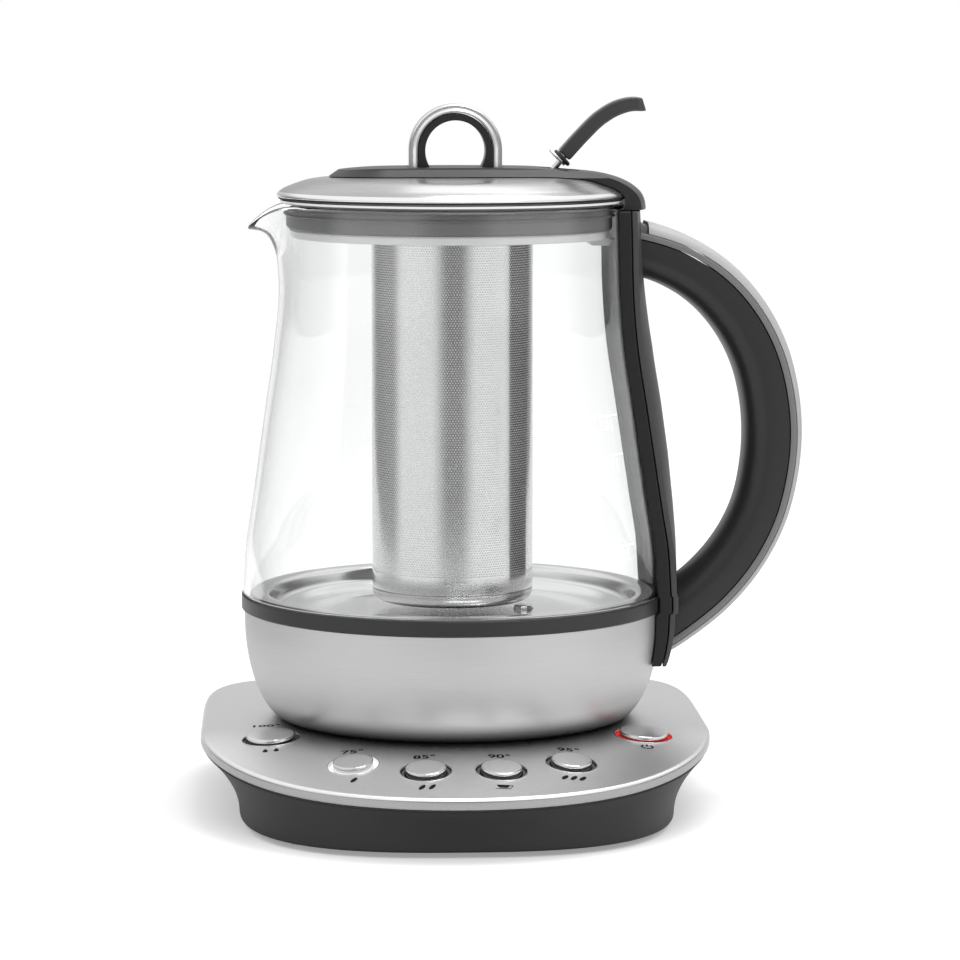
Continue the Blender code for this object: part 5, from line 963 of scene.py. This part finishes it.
def make_glass():
    """Outer wall upwards, the rim as a half circle across the wall, inner wall downwards."""
    plain, spout = glass_lines(90)
    angle = np.linspace(-math.pi, math.pi, 240, endpoint=False)
    away = math.pi - np.abs(angle)
    pull = np.cos(math.pi / 2 * np.clip(away / SPOUT_HALF, 0, 1)) ** 2
    share = np.stack([pull**2, pull], -1)
    line = plain[:, None] + (spout - plain)[:, None] * share[None]
    height, radius = line[..., 0], line[..., 1]
    along = unit(np.stack([np.gradient(radius, axis=0), np.gradient(height, axis=0)], -1))
    inward = np.stack([-along[..., 1], along[..., 0]], -1)
    outer = np.stack([radius, height], -1)
    outer[-1] -= along[-1] * GLASS_WALL / 2
    thin = 1 - 0.45 * pull[None, :] * smoothstep((height - 195) / 12)
    inner = outer + inward * GLASS_WALL * thin[..., None]
    inner[0, :, 1] = height[0]
    middle = (outer[-1] + inner[-1]) / 2
    turn = np.radians(np.linspace(0, 180, 9)[1:-1])
    half = GLASS_WALL / 2 * thin[-1][:, None]
    lip_rows = [middle + half * (along[-1] * math.sin(a) - inward[-1] * math.cos(a)) for a in turn]
    rows = np.concatenate([outer, np.array(lip_rows), inner[::-1]])
    grid = np.stack([rows[..., 0] * np.cos(angle), rows[..., 0] * np.sin(angle), rows[..., 1]], -1)
    return surface("glass_wall", grid, sharp=60)


settle(make_glass(), GLASS, "jug", "clear_glass", "glass_body")
print("the glass's inner mouth radius is", round(GLASS_RADIUS * 0.816 - GLASS_WALL, 2), "mm")

# %% [markdown]
# The level marks are printed in white on the glass. Each point of a flat text is wrapped: its x becomes an
# angle round the glass, its y a height.

# %% Level marks
def on_glass(name, parts, angle, height):
    """Wraps flat parts round the glass about an angle from the front, in degrees, and a height."""
    points, faces = joined(parts)
    z = height + points[:, 1]
    radius = glass_radius(z) + GLASS_LIFT
    turn = math.radians(angle) + points[:, 0] / radius
    wrapped = np.column_stack([radius * np.sin(turn), -radius * np.cos(turn), z])
    settle(mesh_piece(name, wrapped, faces), WHITE_INK, "jug", "clear_glass")


def placed_text(text, size, y):
    """A line of text moved up by y."""
    points, faces = text_points(text, size)
    return points + (0, y), faces


def level_line(length, width=0.5):
    """A level line in eight pieces, so that it can bend round the glass."""
    return band(np.column_stack([np.linspace(-length / 2, length / 2, 9), np.zeros(9)]), width)


GLASS_LIFT, MARK_SIZE, MARK_DROP = 0.04, 4.6, -3.4
MARKS = (
    ("upper", "1.2 l", 16.0, 50.0, 141.6),
    ("middle", "1.0 l", 16.0, 50.8, 128.0),
    ("lower", "0.5 l", 15.6, 50.9, 97.0),
)
for name, text, length, angle, height in MARKS:
    on_glass("mark_" + name, [level_line(length), placed_text(text, MARK_SIZE, MARK_DROP)], angle, height)
print(len(MARKS), "level marks on the glass")

# %% [markdown]
# ## Jug: heater plate and what hangs under it
# The plate is pressed steel: a flat floor, a raised ring over the heating element, a step and a rim under
# the glass. The sensor's tip looks through it. Spreader, element and sensor are hidden by the bowl and keep
# their CAD meshes.

# %% Heater plate
HEATER_RADIUS, HEATER_FLOOR, HEATER_DEPTH, HEATER_SHEET = 71.2, 69.8, 6.3, 0.8
PRESSING = [
    (0, 0), (0.3, 0), (0.55, 0), (0.745, 0), (0.775, 0.1), (0.8, 0.3), (0.84, 0.3), (0.863, 0.1),
    (0.88, 0.06), (0.895, 0.2), (0.907, 0.6), (0.92, 0.92), (0.945, 1), (1, 1),
]


def make_heater_plate():
    """A curve through shares of radius and depth, its underside a sheet below, with a hole for the sensor."""
    scale, floor_point = (HEATER_RADIUS, HEATER_DEPTH), (0, HEATER_FLOOR)
    top = smooth_line(np.array(PRESSING) * scale + floor_point, 110)
    under = offset(top, HEATER_SHEET)
    under[0, 0] = 0
    under[-1, 0] = HEATER_RADIUS
    plate = surface("heater_plate_pressing", turned(np.vstack([top, under[::-1]]), 160), loop=False)
    cut(plate, [drill("sensor_cut", 3.7, 4, (24.8, -7.5, HEATER_FLOOR), (0, 0, 1), 40)])
    return settle(plate, HEATER_STEEL, "jug", "brushed_steel", "heater_plate")


heater_plate = make_heater_plate()
keep(ALUMINIUM, "heat_spreader", "heating_element")
keep(POLISHED, "temperature_sensor")
keep(BLACK, "jug_bottom_cover")
keep(CONNECTOR, "jug_connector")
print("the heater plate has", len(heater_plate.data.polygons), "faces")

# %% [markdown]
# ## Jug: the spine
# Behind the handle a spine of two black mouldings holds bowl, band and glass together: an inner shell that
# follows the glass and a cover that carries the handle. Their joint shows as a thin line down the side. Both
# are lofts of the same three lines across: on the glass, at the seam and outside. Each station gives, at a
# height, the share of the full depth in the middle and the share of the sides' thickness.

# %% Spine lines
SPINE_HALF = 23.5
SPINE_DEPTH, SPINE_GAP, SHELL_SIDE, COVER_SIDE, SEAM_GAP = 8, 0.45, 4.6, 2.2, 0.35
SPINE_STATIONS = np.array([
    (48.5, 0.33, 0.7), (53.16, 0.43, 0.85), (60.37, 0.5, 0.95), (69.4, 0.56, 1), (69.8, 0.56, 1),
    (75.4, 0.56, 1), (75.92, 0.63, 1), (89.64, 0.7, 1), (106.77, 0.89, 1), (124.84, 0.99, 1),
    (143.05, 1, 1), (163.17, 0.96, 1), (188.3, 0.75, 1), (211.0, 0.65, 1),
])


def jug_radius(height):
    """The outer radius of glass, band or bowl at a height."""
    if height > 75.4:
        return float(glass_radius(max(height, GLASS_Z)))
    if height > 69.7:
        return 75.0
    line = smooth_line(BOWL_LINE, 200)[::-1]
    return float(np.interp(height, line[:, 1], line[:, 0]))


def spine_lines(height, across):
    """Points on the glass, at the seam and outside, at places across from -1 to 1."""
    depth, side = (np.interp(height, SPINE_STATIONS[:, 0], SPINE_STATIONS[:, column]) for column in (1, 2))
    radius = jug_radius(height)
    inner = radius + SPINE_GAP
    half = math.asin(SPINE_HALF / inner)
    glass = np.column_stack([inner * np.cos(half * across), inner * np.sin(half * across)])
    edge = inner * math.cos(half)
    bulge = 1 - across**2
    seam_side = edge + SHELL_SIDE * side
    seam_middle = inner + 0.42 * (SPINE_DEPTH * depth - SPINE_GAP)
    seam = np.column_stack([seam_side + (seam_middle - seam_side) * bulge, SPINE_HALF * across])
    outer_side = seam_side + COVER_SIDE * side
    outer_middle = radius + SPINE_DEPTH * depth
    outer = np.column_stack([outer_side + (outer_middle - outer_side) * bulge, SPINE_HALF * across])
    return glass, seam, outer


print("the glass's radius at half height is", round(jug_radius(143), 1), "mm")


# %% Spine shells
def make_spine():
    """Rings up the spine, closer together at the bowl, with a small gap between shell and cover."""
    across = np.linspace(-1, 1, 25)
    heights = np.concatenate([np.linspace(50.9, 69.4, 12), [69.8, 75.4], np.linspace(75.92, 211, 60)])
    shell_rows, cover_rows = [], []
    for height in heights:
        glass, seam, outer = spine_lines(height, across)
        shell_rows.append(ring(np.vstack([glass, seam[::-1]]), height))
        cover_rows.append(ring(np.vstack([seam + (SEAM_GAP, 0), outer[::-1]]), height))
    shell = surface("spine_inner_shell", np.stack(shell_rows), loop=False, sharp=35)
    cover = surface("spine_outer_cover", np.stack(cover_rows), loop=False, sharp=35)
    bevelled(shell, 0.5)
    bevelled(cover, 0.7)
    settle(shell, SPINE, "jug", "dark_grey_plastic", "spine_inner")
    settle(cover, COVER, "jug", "dark_grey_plastic", "spine_cover")
    return heights


print("the spine has", len(make_spine()), "rings")

# %% [markdown]
# ## Jug: the handle
# A C in three layers: a black grip inside, a grey strip, and a silver trim outside. Each layer lies between
# two boundaries that follow the same measured curve at their own depth. A section is carried from the top
# end to the bottom end: round on the grip's inner side, nearly square at the trim. The trim stops short of
# the spine at its top, and a small grey collar joins it there.

# %% Handle curves
HANDLE_X, HANDLE_Z, HANDLE_RADIUS, HANDLE_HALF = 44.4, 131.8, 79.1, 14.0
HANDLE_ANGLES = (84, 71, 60, 49, 35, 24, 12, 0, -12, -24, -38, -51, -60, -66, -78)
HANDLE_SHARES = (
    0.985, 0.995, 1.01, 1.02, 1.02, 1.014, 1.004, 1, 1.002, 1.013, 1.024, 1.036, 1.047, 1.06, 1.08,
)
HANDLE_TOP_X, HANDLE_BOTTOM_X, TRIM_TOP_X, STATIONS = 62.0, 73.5, 68.5, 90


def handle_curve(depth, top_x=HANDLE_TOP_X):
    """(x, z) along the handle at a depth inside its outer line, from top_x above to HANDLE_BOTTOM_X below."""
    span = np.linspace(0, 1, 400)
    angles = np.linspace(HANDLE_ANGLES[0], HANDLE_ANGLES[-1], 400)
    knots = np.column_stack([-np.array(HANDLE_ANGLES, float), np.array(HANDLE_SHARES) * 100])
    curve = smooth_line(knots, 400)
    radius = HANDLE_RADIUS * np.interp(-angles, curve[:, 0], curve[:, 1]) / 100 - depth(span)
    x = HANDLE_X + radius * np.cos(np.radians(angles))
    z = HANDLE_Z + radius * np.sin(np.radians(angles))
    top = np.interp(top_x, x[:200], span[:200])
    bottom = np.interp(-HANDLE_BOTTOM_X, -x[200:], span[200:])
    at = np.linspace(top, bottom, STATIONS)
    return np.column_stack([np.interp(at, span, x), np.interp(at, span, z)])


def along_handle(depth, shares):
    """A depth that changes smoothly along the handle."""
    places = np.linspace(0.05, 0.95, len(shares))
    line = smooth_line(np.column_stack([places * 10, shares]), 100)
    return lambda span: depth * np.interp(span * 10, line[:, 0], line[:, 1])


trim_depth = along_handle(4.2, (1, 0.74, 0.55, 0.52, 0.5))
grip_depth = along_handle(16.2, (0.8, 0.93, 0.975, 0.94, 1))


def handle_layer(name, outer, inner, section):
    """Carries a half section of (depth share, width share) points and its mirror between two boundaries."""
    section = np.asarray(section, float)
    both = np.vstack([section, (section * (1, -1))[::-1]])
    step = inner[:, None] - outer[:, None]
    flat = outer[:, None] + step * both[None, :, :1]
    width = np.broadcast_to(HANDLE_HALF * both[:, 1], flat.shape[:2])
    return surface(name, np.stack([flat[..., 0], width, flat[..., 1]], -1), loop=False, sharp=35)


# %% Handle layers
GRIP_SECTION = [
    (0, 0.94), (0.015, 0.97), (0.2, 0.985), (0.4, 1.0), (0.55, 0.99), (0.7, 0.93), (0.82, 0.83), (0.91, 0.68),
    (0.97, 0.48), (1, 0.25), (1, 0),
]
STRIP_SECTION = [(0, 0.95), (0.2, 0.97), (0.8, 0.97), (1, 0.95)]
TRIM_SECTION = [
    (0, 0), (0, 0.5), (0.03, 0.66), (0.12, 0.78), (0.3, 0.88), (0.55, 0.93), (0.9, 0.95), (1, 0.94),
]
COLLAR = [(63.0, 200.6), (68.2, 200.6), (68.2, 205.0), (67.4, 206.0), (63.0, 206.0)]
STRIP_DEPTH, LAYER_GAP = 2.1, 0.2


def make_handle():
    """The three layers and the collar; each layer starts where the one outside it ends."""
    outer = handle_curve(lambda s: 0 * s, TRIM_TOP_X)
    inner = handle_curve(lambda s: trim_depth(s) - LAYER_GAP, TRIM_TOP_X)
    trim = handle_layer("handle_silver_trim", outer, inner, TRIM_SECTION)
    outer = handle_curve(trim_depth)
    inner = handle_curve(lambda s: trim_depth(s) + STRIP_DEPTH)
    strip = handle_layer("handle_grey_strip", outer, inner, STRIP_SECTION)
    outer = handle_curve(lambda s: trim_depth(s) + 2.4)
    inner = handle_curve(lambda s: trim_depth(s) + STRIP_DEPTH + grip_depth(s))
    grip = handle_layer("handle_black_grip", outer, inner, GRIP_SECTION)
    settle(trim, SILVER, "jug", "silver_paint", "handle_trim")
    settle(slab("handle_top_collar", COLLAR, 11.5, 0.4), GREY, "jug", "grey_plastic")
    settle(strip, GREY, "jug", "grey_plastic", "handle_strip")
    settle(grip, DARK, "jug", "dark_grey_plastic", "handle_grip")
    return outer


grip_line = make_handle()
print("the handle reaches x =", round(float(grip_line[:, 0].max()), 1), "mm at the grip's outer side")

# %% [markdown]
# ## Lid: dome, shadow ring and cap
# The lid's dome is spun steel. Under its rolled rim a black ring is painted shade for the dark gap between
# dome and gasket. A black bar lies across it, round at its left end, and bends down over the glass to the
# spine, where
# the thumb lifts the lid. The dome is turned. The bar is the part of a turned shell that lies within a bar's
# plan:
# its side faces slope in towards the top.

# %% Dome and shadow ring
DOME = [
    (12.3, 222.6), (27.9, 222.6), (43.71, 222.29), (51.46, 221.37), (55.8, 219.98), (60.33, 217.9),
    (61.69, 216.75), (62.0, 216.0),
]
DOME_SHEET = 1.0


def on_rolled_rim(centres, normals):
    """The dome's outermost few millimetres, which get the painted highlight."""
    return (centres[:, 2] < 217.7) & (np.hypot(*centres[:, :2].T) > 60.2)


def make_dome():
    """The outer curve, the rolled edge, and the inner curve a sheet inside it; a black ring below is painted
    shade.
    """
    outer = smooth_line(DOME, 80)
    edge = [(61.9, 215.75), (61.5, 215.65), (60.9, 215.8)]
    inner = offset(outer, DOME_SHEET)
    inner[0, 0] = DOME[0][0]
    profile = np.vstack([outer, edge, inner[::-1][2:]])
    dome = lathe("steel_dome", profile, DOME_STEEL, "lid", "brushed_steel", "lid_dome", steps=240, sharp=60)
    # painted highlight: the rolled rim gets the brighter steel
    second_look(dome, RIM_HIGHLIGHT_STEEL, on_rolled_rim)
    # painted shade: a black ring under the rolled rim makes the dark gap there
    shadow_ring_line = rounded(
        [(61.3, 215.6), (61.3, 214.95), (60.6, 214.95), (58.5, 214.95), (58.5, 215.6)], [0.2, 0.3, 0, 0, 0],
    )
    lathe("dome_rim_shadow_ring", shadow_ring_line, RUBBER, "lid", "dark_grey_plastic")


make_dome()
print("the dome is", 2 * DOME[-1][0], "mm wide")

# %% [markdown]
# The cap's bar has holes for the lever's rod, for the washer and ring that swing down with it, and for the
# two feet of the loop. Plain boxes cut them.

# %% Cap
def block(name, low, high, bevel=0.0):
    """A box between two corners, for cuts and small mouldings."""
    (x0, y0, z0), (x1, y1, z1) = low, high
    outline = [(x0, z0), (x1, z0), (x1, z1), (x0, z1)]
    piece = slab(name, outline, (y1 - y0) / 2, bevel)
    if not bevel:
        piece.modifiers.clear()
    piece.data.transform(Matrix.Translation((0, (y0 + y1) / 2 * MM, 0)))
    return piece


CAP_TOP, CAP_HALF, CAP_LEFT = 226.0, 20.0, -43.6
BRIDGE_REACH, BRIDGE_INSIDE, BRIDGE_BOTTOM = 68.2, 62.6, 211.4
LOOP_X, LOOP_LEG, OVER_CAP = 1.0, 15.1, 228
CAP_LINE = [
    (0, 226.0), (17.7, 225.9), (34.1, 225.5), (43.2, 224.7), (54.3, 223.4), (60.0, 221.6), (64.1, 219.3),
    (66.6, 216.9), (67.8, 214.4), (68.2, 211.9),
]
CAP_SIDE = [
    (0, 209), (0, 222.3), (0.12, 222.6), (0.5, 222.95), (3.3, 224.9), (3.75, 225.3), (4.0, 225.7),
    (4.15, 226.3), (4.2, OVER_CAP),
]


def bar_ring(inset, height):
    """The bar's plan, with a half circle at its left end, moved in by an inset."""
    half = CAP_HALF - inset
    end = circle(CAP_LEFT + CAP_HALF, 0, half, 90, 270, 49)
    return ring(np.vstack([[(72, half)], end, [(72, -half)]]), height)


def make_cap():
    """A turned shell over the dome, kept only within the bar's plan, with slot, recess and pockets cut."""
    crown = smooth_line(CAP_LINE, 70)
    bridge = [(BRIDGE_REACH, BRIDGE_BOTTOM), (BRIDGE_INSIDE, BRIDGE_BOTTOM), (BRIDGE_INSIDE, 216.0)]
    dome = smooth_line(DOME, 60) + (0, 0.3)
    shell = np.vstack([crown, bridge, dome[::-1][1:], [(0, 222.9)]])
    cap = surface("cap_bar", turned(shell, 240), loop=False)
    bar = surface("bar_plan", np.stack([bar_ring(*entry) for entry in CAP_SIDE]), loop=False)
    cut(cap, [bar], "INTERSECT")
    cutters = [
        block("slot_cut", (31.3, -1.7, 219), (41.2, 1.7, OVER_CAP)),
        block("recess_cut", (33.8, -4.1, CAP_TOP - 2.9), (44.7, 4.1, OVER_CAP)),
    ]
    for x in (LOOP_X - LOOP_LEG, LOOP_X + LOOP_LEG):
        low, high = (x - 1.6, -6.8, CAP_TOP - 2.1), (x + 1.6, 6.8, OVER_CAP)
        cutters.append(block(f"pocket_cut_{x}", low, high))
    cut(cap, cutters)
    bevelled(cap, 0.45, segments=3, angle=40)
    return settle(cap, DARK, "lid", "dark_grey_plastic", "lid_cap")


print("the cap has", len(make_cap().data.polygons), "faces before its edges are rounded")

# %% [markdown]
# ## Lid: plug, gasket and lower plate
# A pale plug hangs in the glass's mouth, with a ribbed silicone gasket round it and a thin pale line above
# the gasket; the pale plastic has a little painted glow. The lower plate closes it from below, and a small
# catch looks out at its right side.

# %% Plug, gasket, lower plate, collar, catch
def make_gasket():
    """The gasket's profile: a flange on top, then two ribs that a loop draws."""
    rim, inner = 213.4, 54.9
    points = [(inner, rim + 1.1), (60.2, rim + 1.1), (60.2, rim), (56.9, rim)]
    for number in range(2):
        top = rim - 1.2 * (1 + 2 * number)
        points += [(56.4, top), (58.0, top - 0.6), (56.4, top - 1.2)]
    points += [(56.4, 204.8), (55.6, 204.0), (inner, 204.0)]
    return rounded(points, [0, 0.3, 0.2, 0.1] + [0.15, 0.25, 0.15] * 2 + [0.3, 0.2, 0], steps=3)


lathe("ribbed_gasket", make_gasket(), SILICONE, "lid", "grey_silicone", "lid_gasket")
rim_line = rounded([(60.25, 214.5), (60.55, 214.5), (60.55, 213.7), (60.25, 213.7)], 0.08, steps=2)
lathe("plug_rim_line", rim_line, PALE, "lid", "pale_plastic")
lower_line = rounded([(55.3, 203.7), (55.3, 201.1), (32, 201.1), (32, 203.7)], [0.3, 0.6, 0.3, 0])
lower_plate = surface("pale_lower_plate", turned(lower_line, 160))
cut(lower_plate, [block("gate_cut", (36.2, -4.1, 199), (41.9, 4.1, 204.5))])
settle(lower_plate, PALE, "lid", "pale_plastic", "lid_lower_plate")
keep(PALE, "lid_plug", "basket_collar")
print("the lower plate has", len(lower_plate.data.polygons), "faces")

# %% Catch
CATCH = [
    (39.6, 200.8), (57.0, 200.8), (57.2, 200.2), (54.5, 198.4), (48.8, 198.4), (47.0, 200.2), (39.6, 200.2),
]


def make_catch():
    """A tab under the lower plate with a pointed tip, and the wall that the lever's crank pushes."""
    tab = slab("catch_tab", CATCH, 8, 0.35)
    settle(tab, PALE, "catch", "pale_plastic", "lid_catch")
    wall = block("catch_upright", (39.6, -3.8, 199.6), (41.6, 3.8, 210.8), 0.2)
    settle(wall, PALE, "catch", "pale_plastic")


make_catch()
print("the catch's tip is at", CATCH[2][0], "mm")

# %% [markdown]
# ## Lid: the loop handle
# A steel band bent over a dark moulded insert, for lifting the lid with one finger. Both are flat outlines,
# arcs above and straight feet below, thickened sideways.

# %% Loop
LOOP_Z, LOOP_RADIUS = CAP_TOP + 5.6, 16.4
INSERT_OUTER, INSERT_INNER = 13.1, 10.6
BAND_HALF_SECTION = [
    (LOOP_RADIUS, 0), (LOOP_RADIUS, 4.6), (16.2, 5.3), (15.8, 5.75), (15.35, 5.75), (15.1, 5.4), (15.0, 5.5),
    (14.0, 6.25), (13.5, 6.3), (13.4, 6.1), (13.4, 0),
]


def arch(radius, foot_z):
    """The (x, z) line up one leg, over the top and down the other, for a radius."""
    over = circle(LOOP_X, LOOP_Z, radius, 180, 0, 49)
    legs = np.linspace(foot_z, LOOP_Z, 6)[:-1]
    left = np.column_stack([np.full(5, LOOP_X - radius), legs])
    right = np.column_stack([np.full(5, LOOP_X + radius), legs[::-1]])
    return np.vstack([left, over, right])


def make_loop():
    """The band's section carried along arches of its own radii, and the insert as a flat outline."""
    half = np.array(BAND_HALF_SECTION, float)
    section = np.vstack([half, (half * (1, -1))[::-1][1:-1]])
    lines = np.stack([arch(radius, CAP_TOP - 1.8) for radius in section[:, 0]], 1)
    width = np.broadcast_to(section[:, 1], lines.shape[:2])
    band_grid = np.stack([lines[..., 0], width, lines[..., 1]], -1)
    steel = surface("loop_steel_band", band_grid, loop=False, sharp=30)
    settle(steel, LOOP_STEEL, "lid", "brushed_steel", "loop_band")
    foot_z = CAP_TOP - 0.2
    over = circle(LOOP_X, LOOP_Z, INSERT_OUTER, 0, 180, 49)
    inner = circle(LOOP_X, LOOP_Z, INSERT_INNER, 214.5, -34.5, 57)
    feet = [[(LOOP_X - INSERT_OUTER, foot_z)], [(LOOP_X + INSERT_OUTER, foot_z)]]
    insert = slab("loop_dark_insert", np.vstack([over, feet[0], inner, feet[1]]), 5.6, 0.5)
    settle(insert, DARK, "lid", "dark_grey_plastic", "loop_insert")


make_loop()
print("the loop's top is at", LOOP_Z + LOOP_RADIUS, "mm")

# %% [markdown]
# ## Lid: the thumb lever
# A bent steel rod turns on a pin inside the lid; pushed by the thumb, its crank draws the catch in. A
# washer, a rubber ring and a dark grip sit on its free end. The rod is a circle carried along a path, the
# grip a rounded rectangle along a smooth curve, with a slanted end.

# %% Lever
def tube(name, path, radius, sides=20):
    """A round rod along a path, its ring square to the path at each point."""
    path = np.asarray(path, float)
    along = unit(np.gradient(path, axis=0))
    across = np.broadcast_to((0.0, 1.0, 0.0), along.shape)
    up = np.cross(across, along)
    turn = np.arange(sides) * 2 * math.pi / sides
    section = np.cos(turn)[:, None] * across[:, None] + np.sin(turn)[:, None] * up[:, None]
    return surface(name, path[:, None] + radius * section, loop=False)


PIN_X, PIN_Z, ROD_RADIUS = 32.19, 219.0, 1.1
ROD = [(43.0, 208.5), (43.0, PIN_Z), (PIN_X, PIN_Z), (35.3, 224.4), (39.4, 229.4), (42.9, 233.2)]
ROD_WAY = unit(np.array([0.72, 0, 0.69]))
GRIP_LINE = [(39.3, 229.8), (45.6, 236.7), (52.6, 243.3), (57.7, 246.3), (63.2, 247.8), (67.5, 247.7)]


def make_lever():
    """The bent rod, its hub on the pin, and the washer and rubber ring below the grip."""
    rod = rounded(ROD, [0, 1.5, 2.5, 3, 3, 0], closed=False, steps=6)
    rod = tube("lever_steel_rod", np.column_stack([rod[:, 0], np.zeros(len(rod)), rod[:, 1]]), ROD_RADIUS)
    settle(rod, POLISHED, "lever", "brushed_steel", "lever_rod")
    hub = rounded([(1.5, -3), (2.1, -3), (2.1, 3), (1.5, 3)], 0.2)
    hub = spun("lever_hub", hub, (PIN_X, 0, PIN_Z), (0, 1, 0), 40)
    settle(hub, POLISHED, "lever", "brushed_steel")
    washer = rounded([(3.8, 0.9), (3.8, 0), (2.0, 0), (2.0, 0.9)], 0.3)
    washer = spun("lever_steel_washer", washer, (36.7, 0, 228.8), ROD_WAY, 48)
    settle(washer, LOOP_STEEL, "lever", "brushed_steel", "lever_washer")
    bead = rounded([(3.65, 1.5), (3.65, 0), (1.3, 0), (1.3, 1.5)], [0.7, 0.7, 0.1, 0.1])
    bead = spun("lever_ring", bead, (38.2, 0, 228.4), ROD_WAY, 48)
    settle(bead, DARK, "lever", "black_rubber", "lever_rubber_ring")


make_lever()
print("the rod leans", round(math.degrees(math.asin(ROD_WAY[0]))), "degrees")

# %% Lever grip
def make_lever_grip():
    """A rounded rectangle, 5.2 x 8.2 mm, along the grip's curve; its last rings lean to slant the end."""
    path = smooth_line(GRIP_LINE, 40)
    along = unit(np.gradient(path, axis=0))
    up = np.column_stack([-along[:, 1], along[:, 0]])
    place = np.linspace(0, 1, 40)
    share = np.interp(place, (0, 0.02, 0.75, 0.95, 1), (0.9, 0.98, 1, 0.94, 0.86))
    section = rounded([(-2.6, -4.1), (2.6, -4.1), (2.6, 4.1), (-2.6, 4.1)], 0.8, steps=5)
    rise = share[:, None] * section[None, :, 0]
    lean = np.interp(place, (0.85, 1), (0, -0.35))[:, None] * rise
    flat = path[:, None] + up[:, None] * rise[..., None] + along[:, None] * lean[..., None]
    width = share[:, None] * section[None, :, 1]
    grid = np.stack([flat[..., 0], width, flat[..., 1]], -1)
    grip = surface("lever_dark_grip", grid, loop=False, sharp=35)
    bevelled(grip, 0.4)
    return settle(grip, GRIP, "lever", "dark_grey_plastic", "lever_grip")


print("the lever's grip has", len(make_lever_grip().data.polygons), "faces before its edges are rounded")

# %% [markdown]
# ## The infuser
# A tube of finely perforated steel hangs from the lid's bayonet, with a plain cup pushed into its foot.
# Some 26,000 holes would be a heavy mesh, so they are drawn in the material: two interleaved grids of
# points, each hole where the distance to its nearest point is below the hole's radius. A hole is not
# see-through:
# it is painted an even pale grey, painted light for what comes through the tube from behind. Both ends of the
# tube are plain.

# %% Perforated steel
HOLES_ROUND, HOLE_ROW, HOLE_RADIUS, HOLE_EDGE = 186, 0.83, 0.26, 0.05
HOLES_FROM, HOLES_TO = 83.4, 200.5
BASKET_RADIUS = 28.5


def perforated():
    """Polished sheet, and a painted grey for the light through the holes, where a point lies within a hole's
    radius of a grid point.
    """
    made = finish("perforated_sheet", 0.72, 0.15, 1, "grain", 0.3, 0.04)
    tree = made.node_tree
    x, y, z = node(tree, "SeparateXYZ", {0: centred(tree)}).outputs
    around = math_node(tree, "MULTIPLY", math_node(tree, "ARCTAN2", y, x), HOLES_ROUND / (2 * math.pi))
    rows = math_node(tree, "DIVIDE", z, 2 * HOLE_ROW * MM)
    pitch = 2 * math.pi * BASKET_RADIUS / HOLES_ROUND
    nearest = []
    for shift in (0.0, 0.5):
        squares = []
        for value, scale in ((around, pitch), (rows, 2 * HOLE_ROW)):
            part = math_node(tree, "FRACT", math_node(tree, "ADD", value, shift + 100))
            part = math_node(tree, "MULTIPLY", math_node(tree, "SUBTRACT", part, 0.5), scale)
            squares.append(math_node(tree, "MULTIPLY", part, part))
        nearest.append(math_node(tree, "ADD", *squares))
    distance = math_node(tree, "SQRT", math_node(tree, "MINIMUM", *nearest))
    soft = {0: distance, 1: HOLE_RADIUS - HOLE_EDGE, 2: HOLE_RADIUS + HOLE_EDGE, 3: 1.0, 4: 0.0}
    edge = node(tree, "MapRange", soft).outputs[0]
    above = math_node(tree, "GREATER_THAN", z, HOLES_FROM * MM)
    below = math_node(tree, "LESS_THAN", z, HOLES_TO * MM)
    hole = math_node(tree, "MULTIPLY", edge, math_node(tree, "MULTIPLY", above, below))
    sheet = tree.nodes["Principled BSDF"]
    # painted light: a hole is an even grey diffuse, not an opening
    through = node(tree, "BsdfDiffuse", {"Color": (0.65, 0.65, 0.65, 1)})
    either = node(tree, "MixShader", {0: hole, 1: sheet.outputs[0], 2: through.outputs[0]})
    tree.links.new(either.outputs[0], tree.nodes["Material Output"].inputs[0])
    return made


PERFORATED = perforated()
print("about", round(HOLES_ROUND * (HOLES_TO - HOLES_FROM) / HOLE_ROW, -3), "holes")

# %% Tube and cup
def make_infuser():
    """A thin tube, and a cup with a rounded foot whose collar is pushed into the tube."""
    line = [(BASKET_RADIUS, 211.9), (BASKET_RADIUS, 77.3), (27.9, 77.3), (27.9, 211.9)]
    line = rounded(line, 0.1, steps=2)
    lathe("perforated_tube", line, PERFORATED, "basket", "perforated_steel", "basket_tube", steps=192)
    cup = rounded(
        [(0, 72.5), (BASKET_RADIUS, 72.5), (BASKET_RADIUS, 77.0), (27.6, 77.0), (27.6, 81.0), (26.9, 81.0),
         (26.9, 73.3), (0, 73.3)],
        [0, 4.0, 0.2, 0, 0.1, 0.1, 3.2, 0], closed=False, steps=8,
    )
    lathe("infuser_cup", cup, CUP_STEEL, "basket", "brushed_steel", "basket_cup", steps=160, loop=False)


make_infuser()
print("the infuser is", 2 * BASKET_RADIUS, "mm wide")

# %% [markdown]
# ## Last step
# The view layer is updated once more.

# %% Update
bpy.context.view_layer.update()
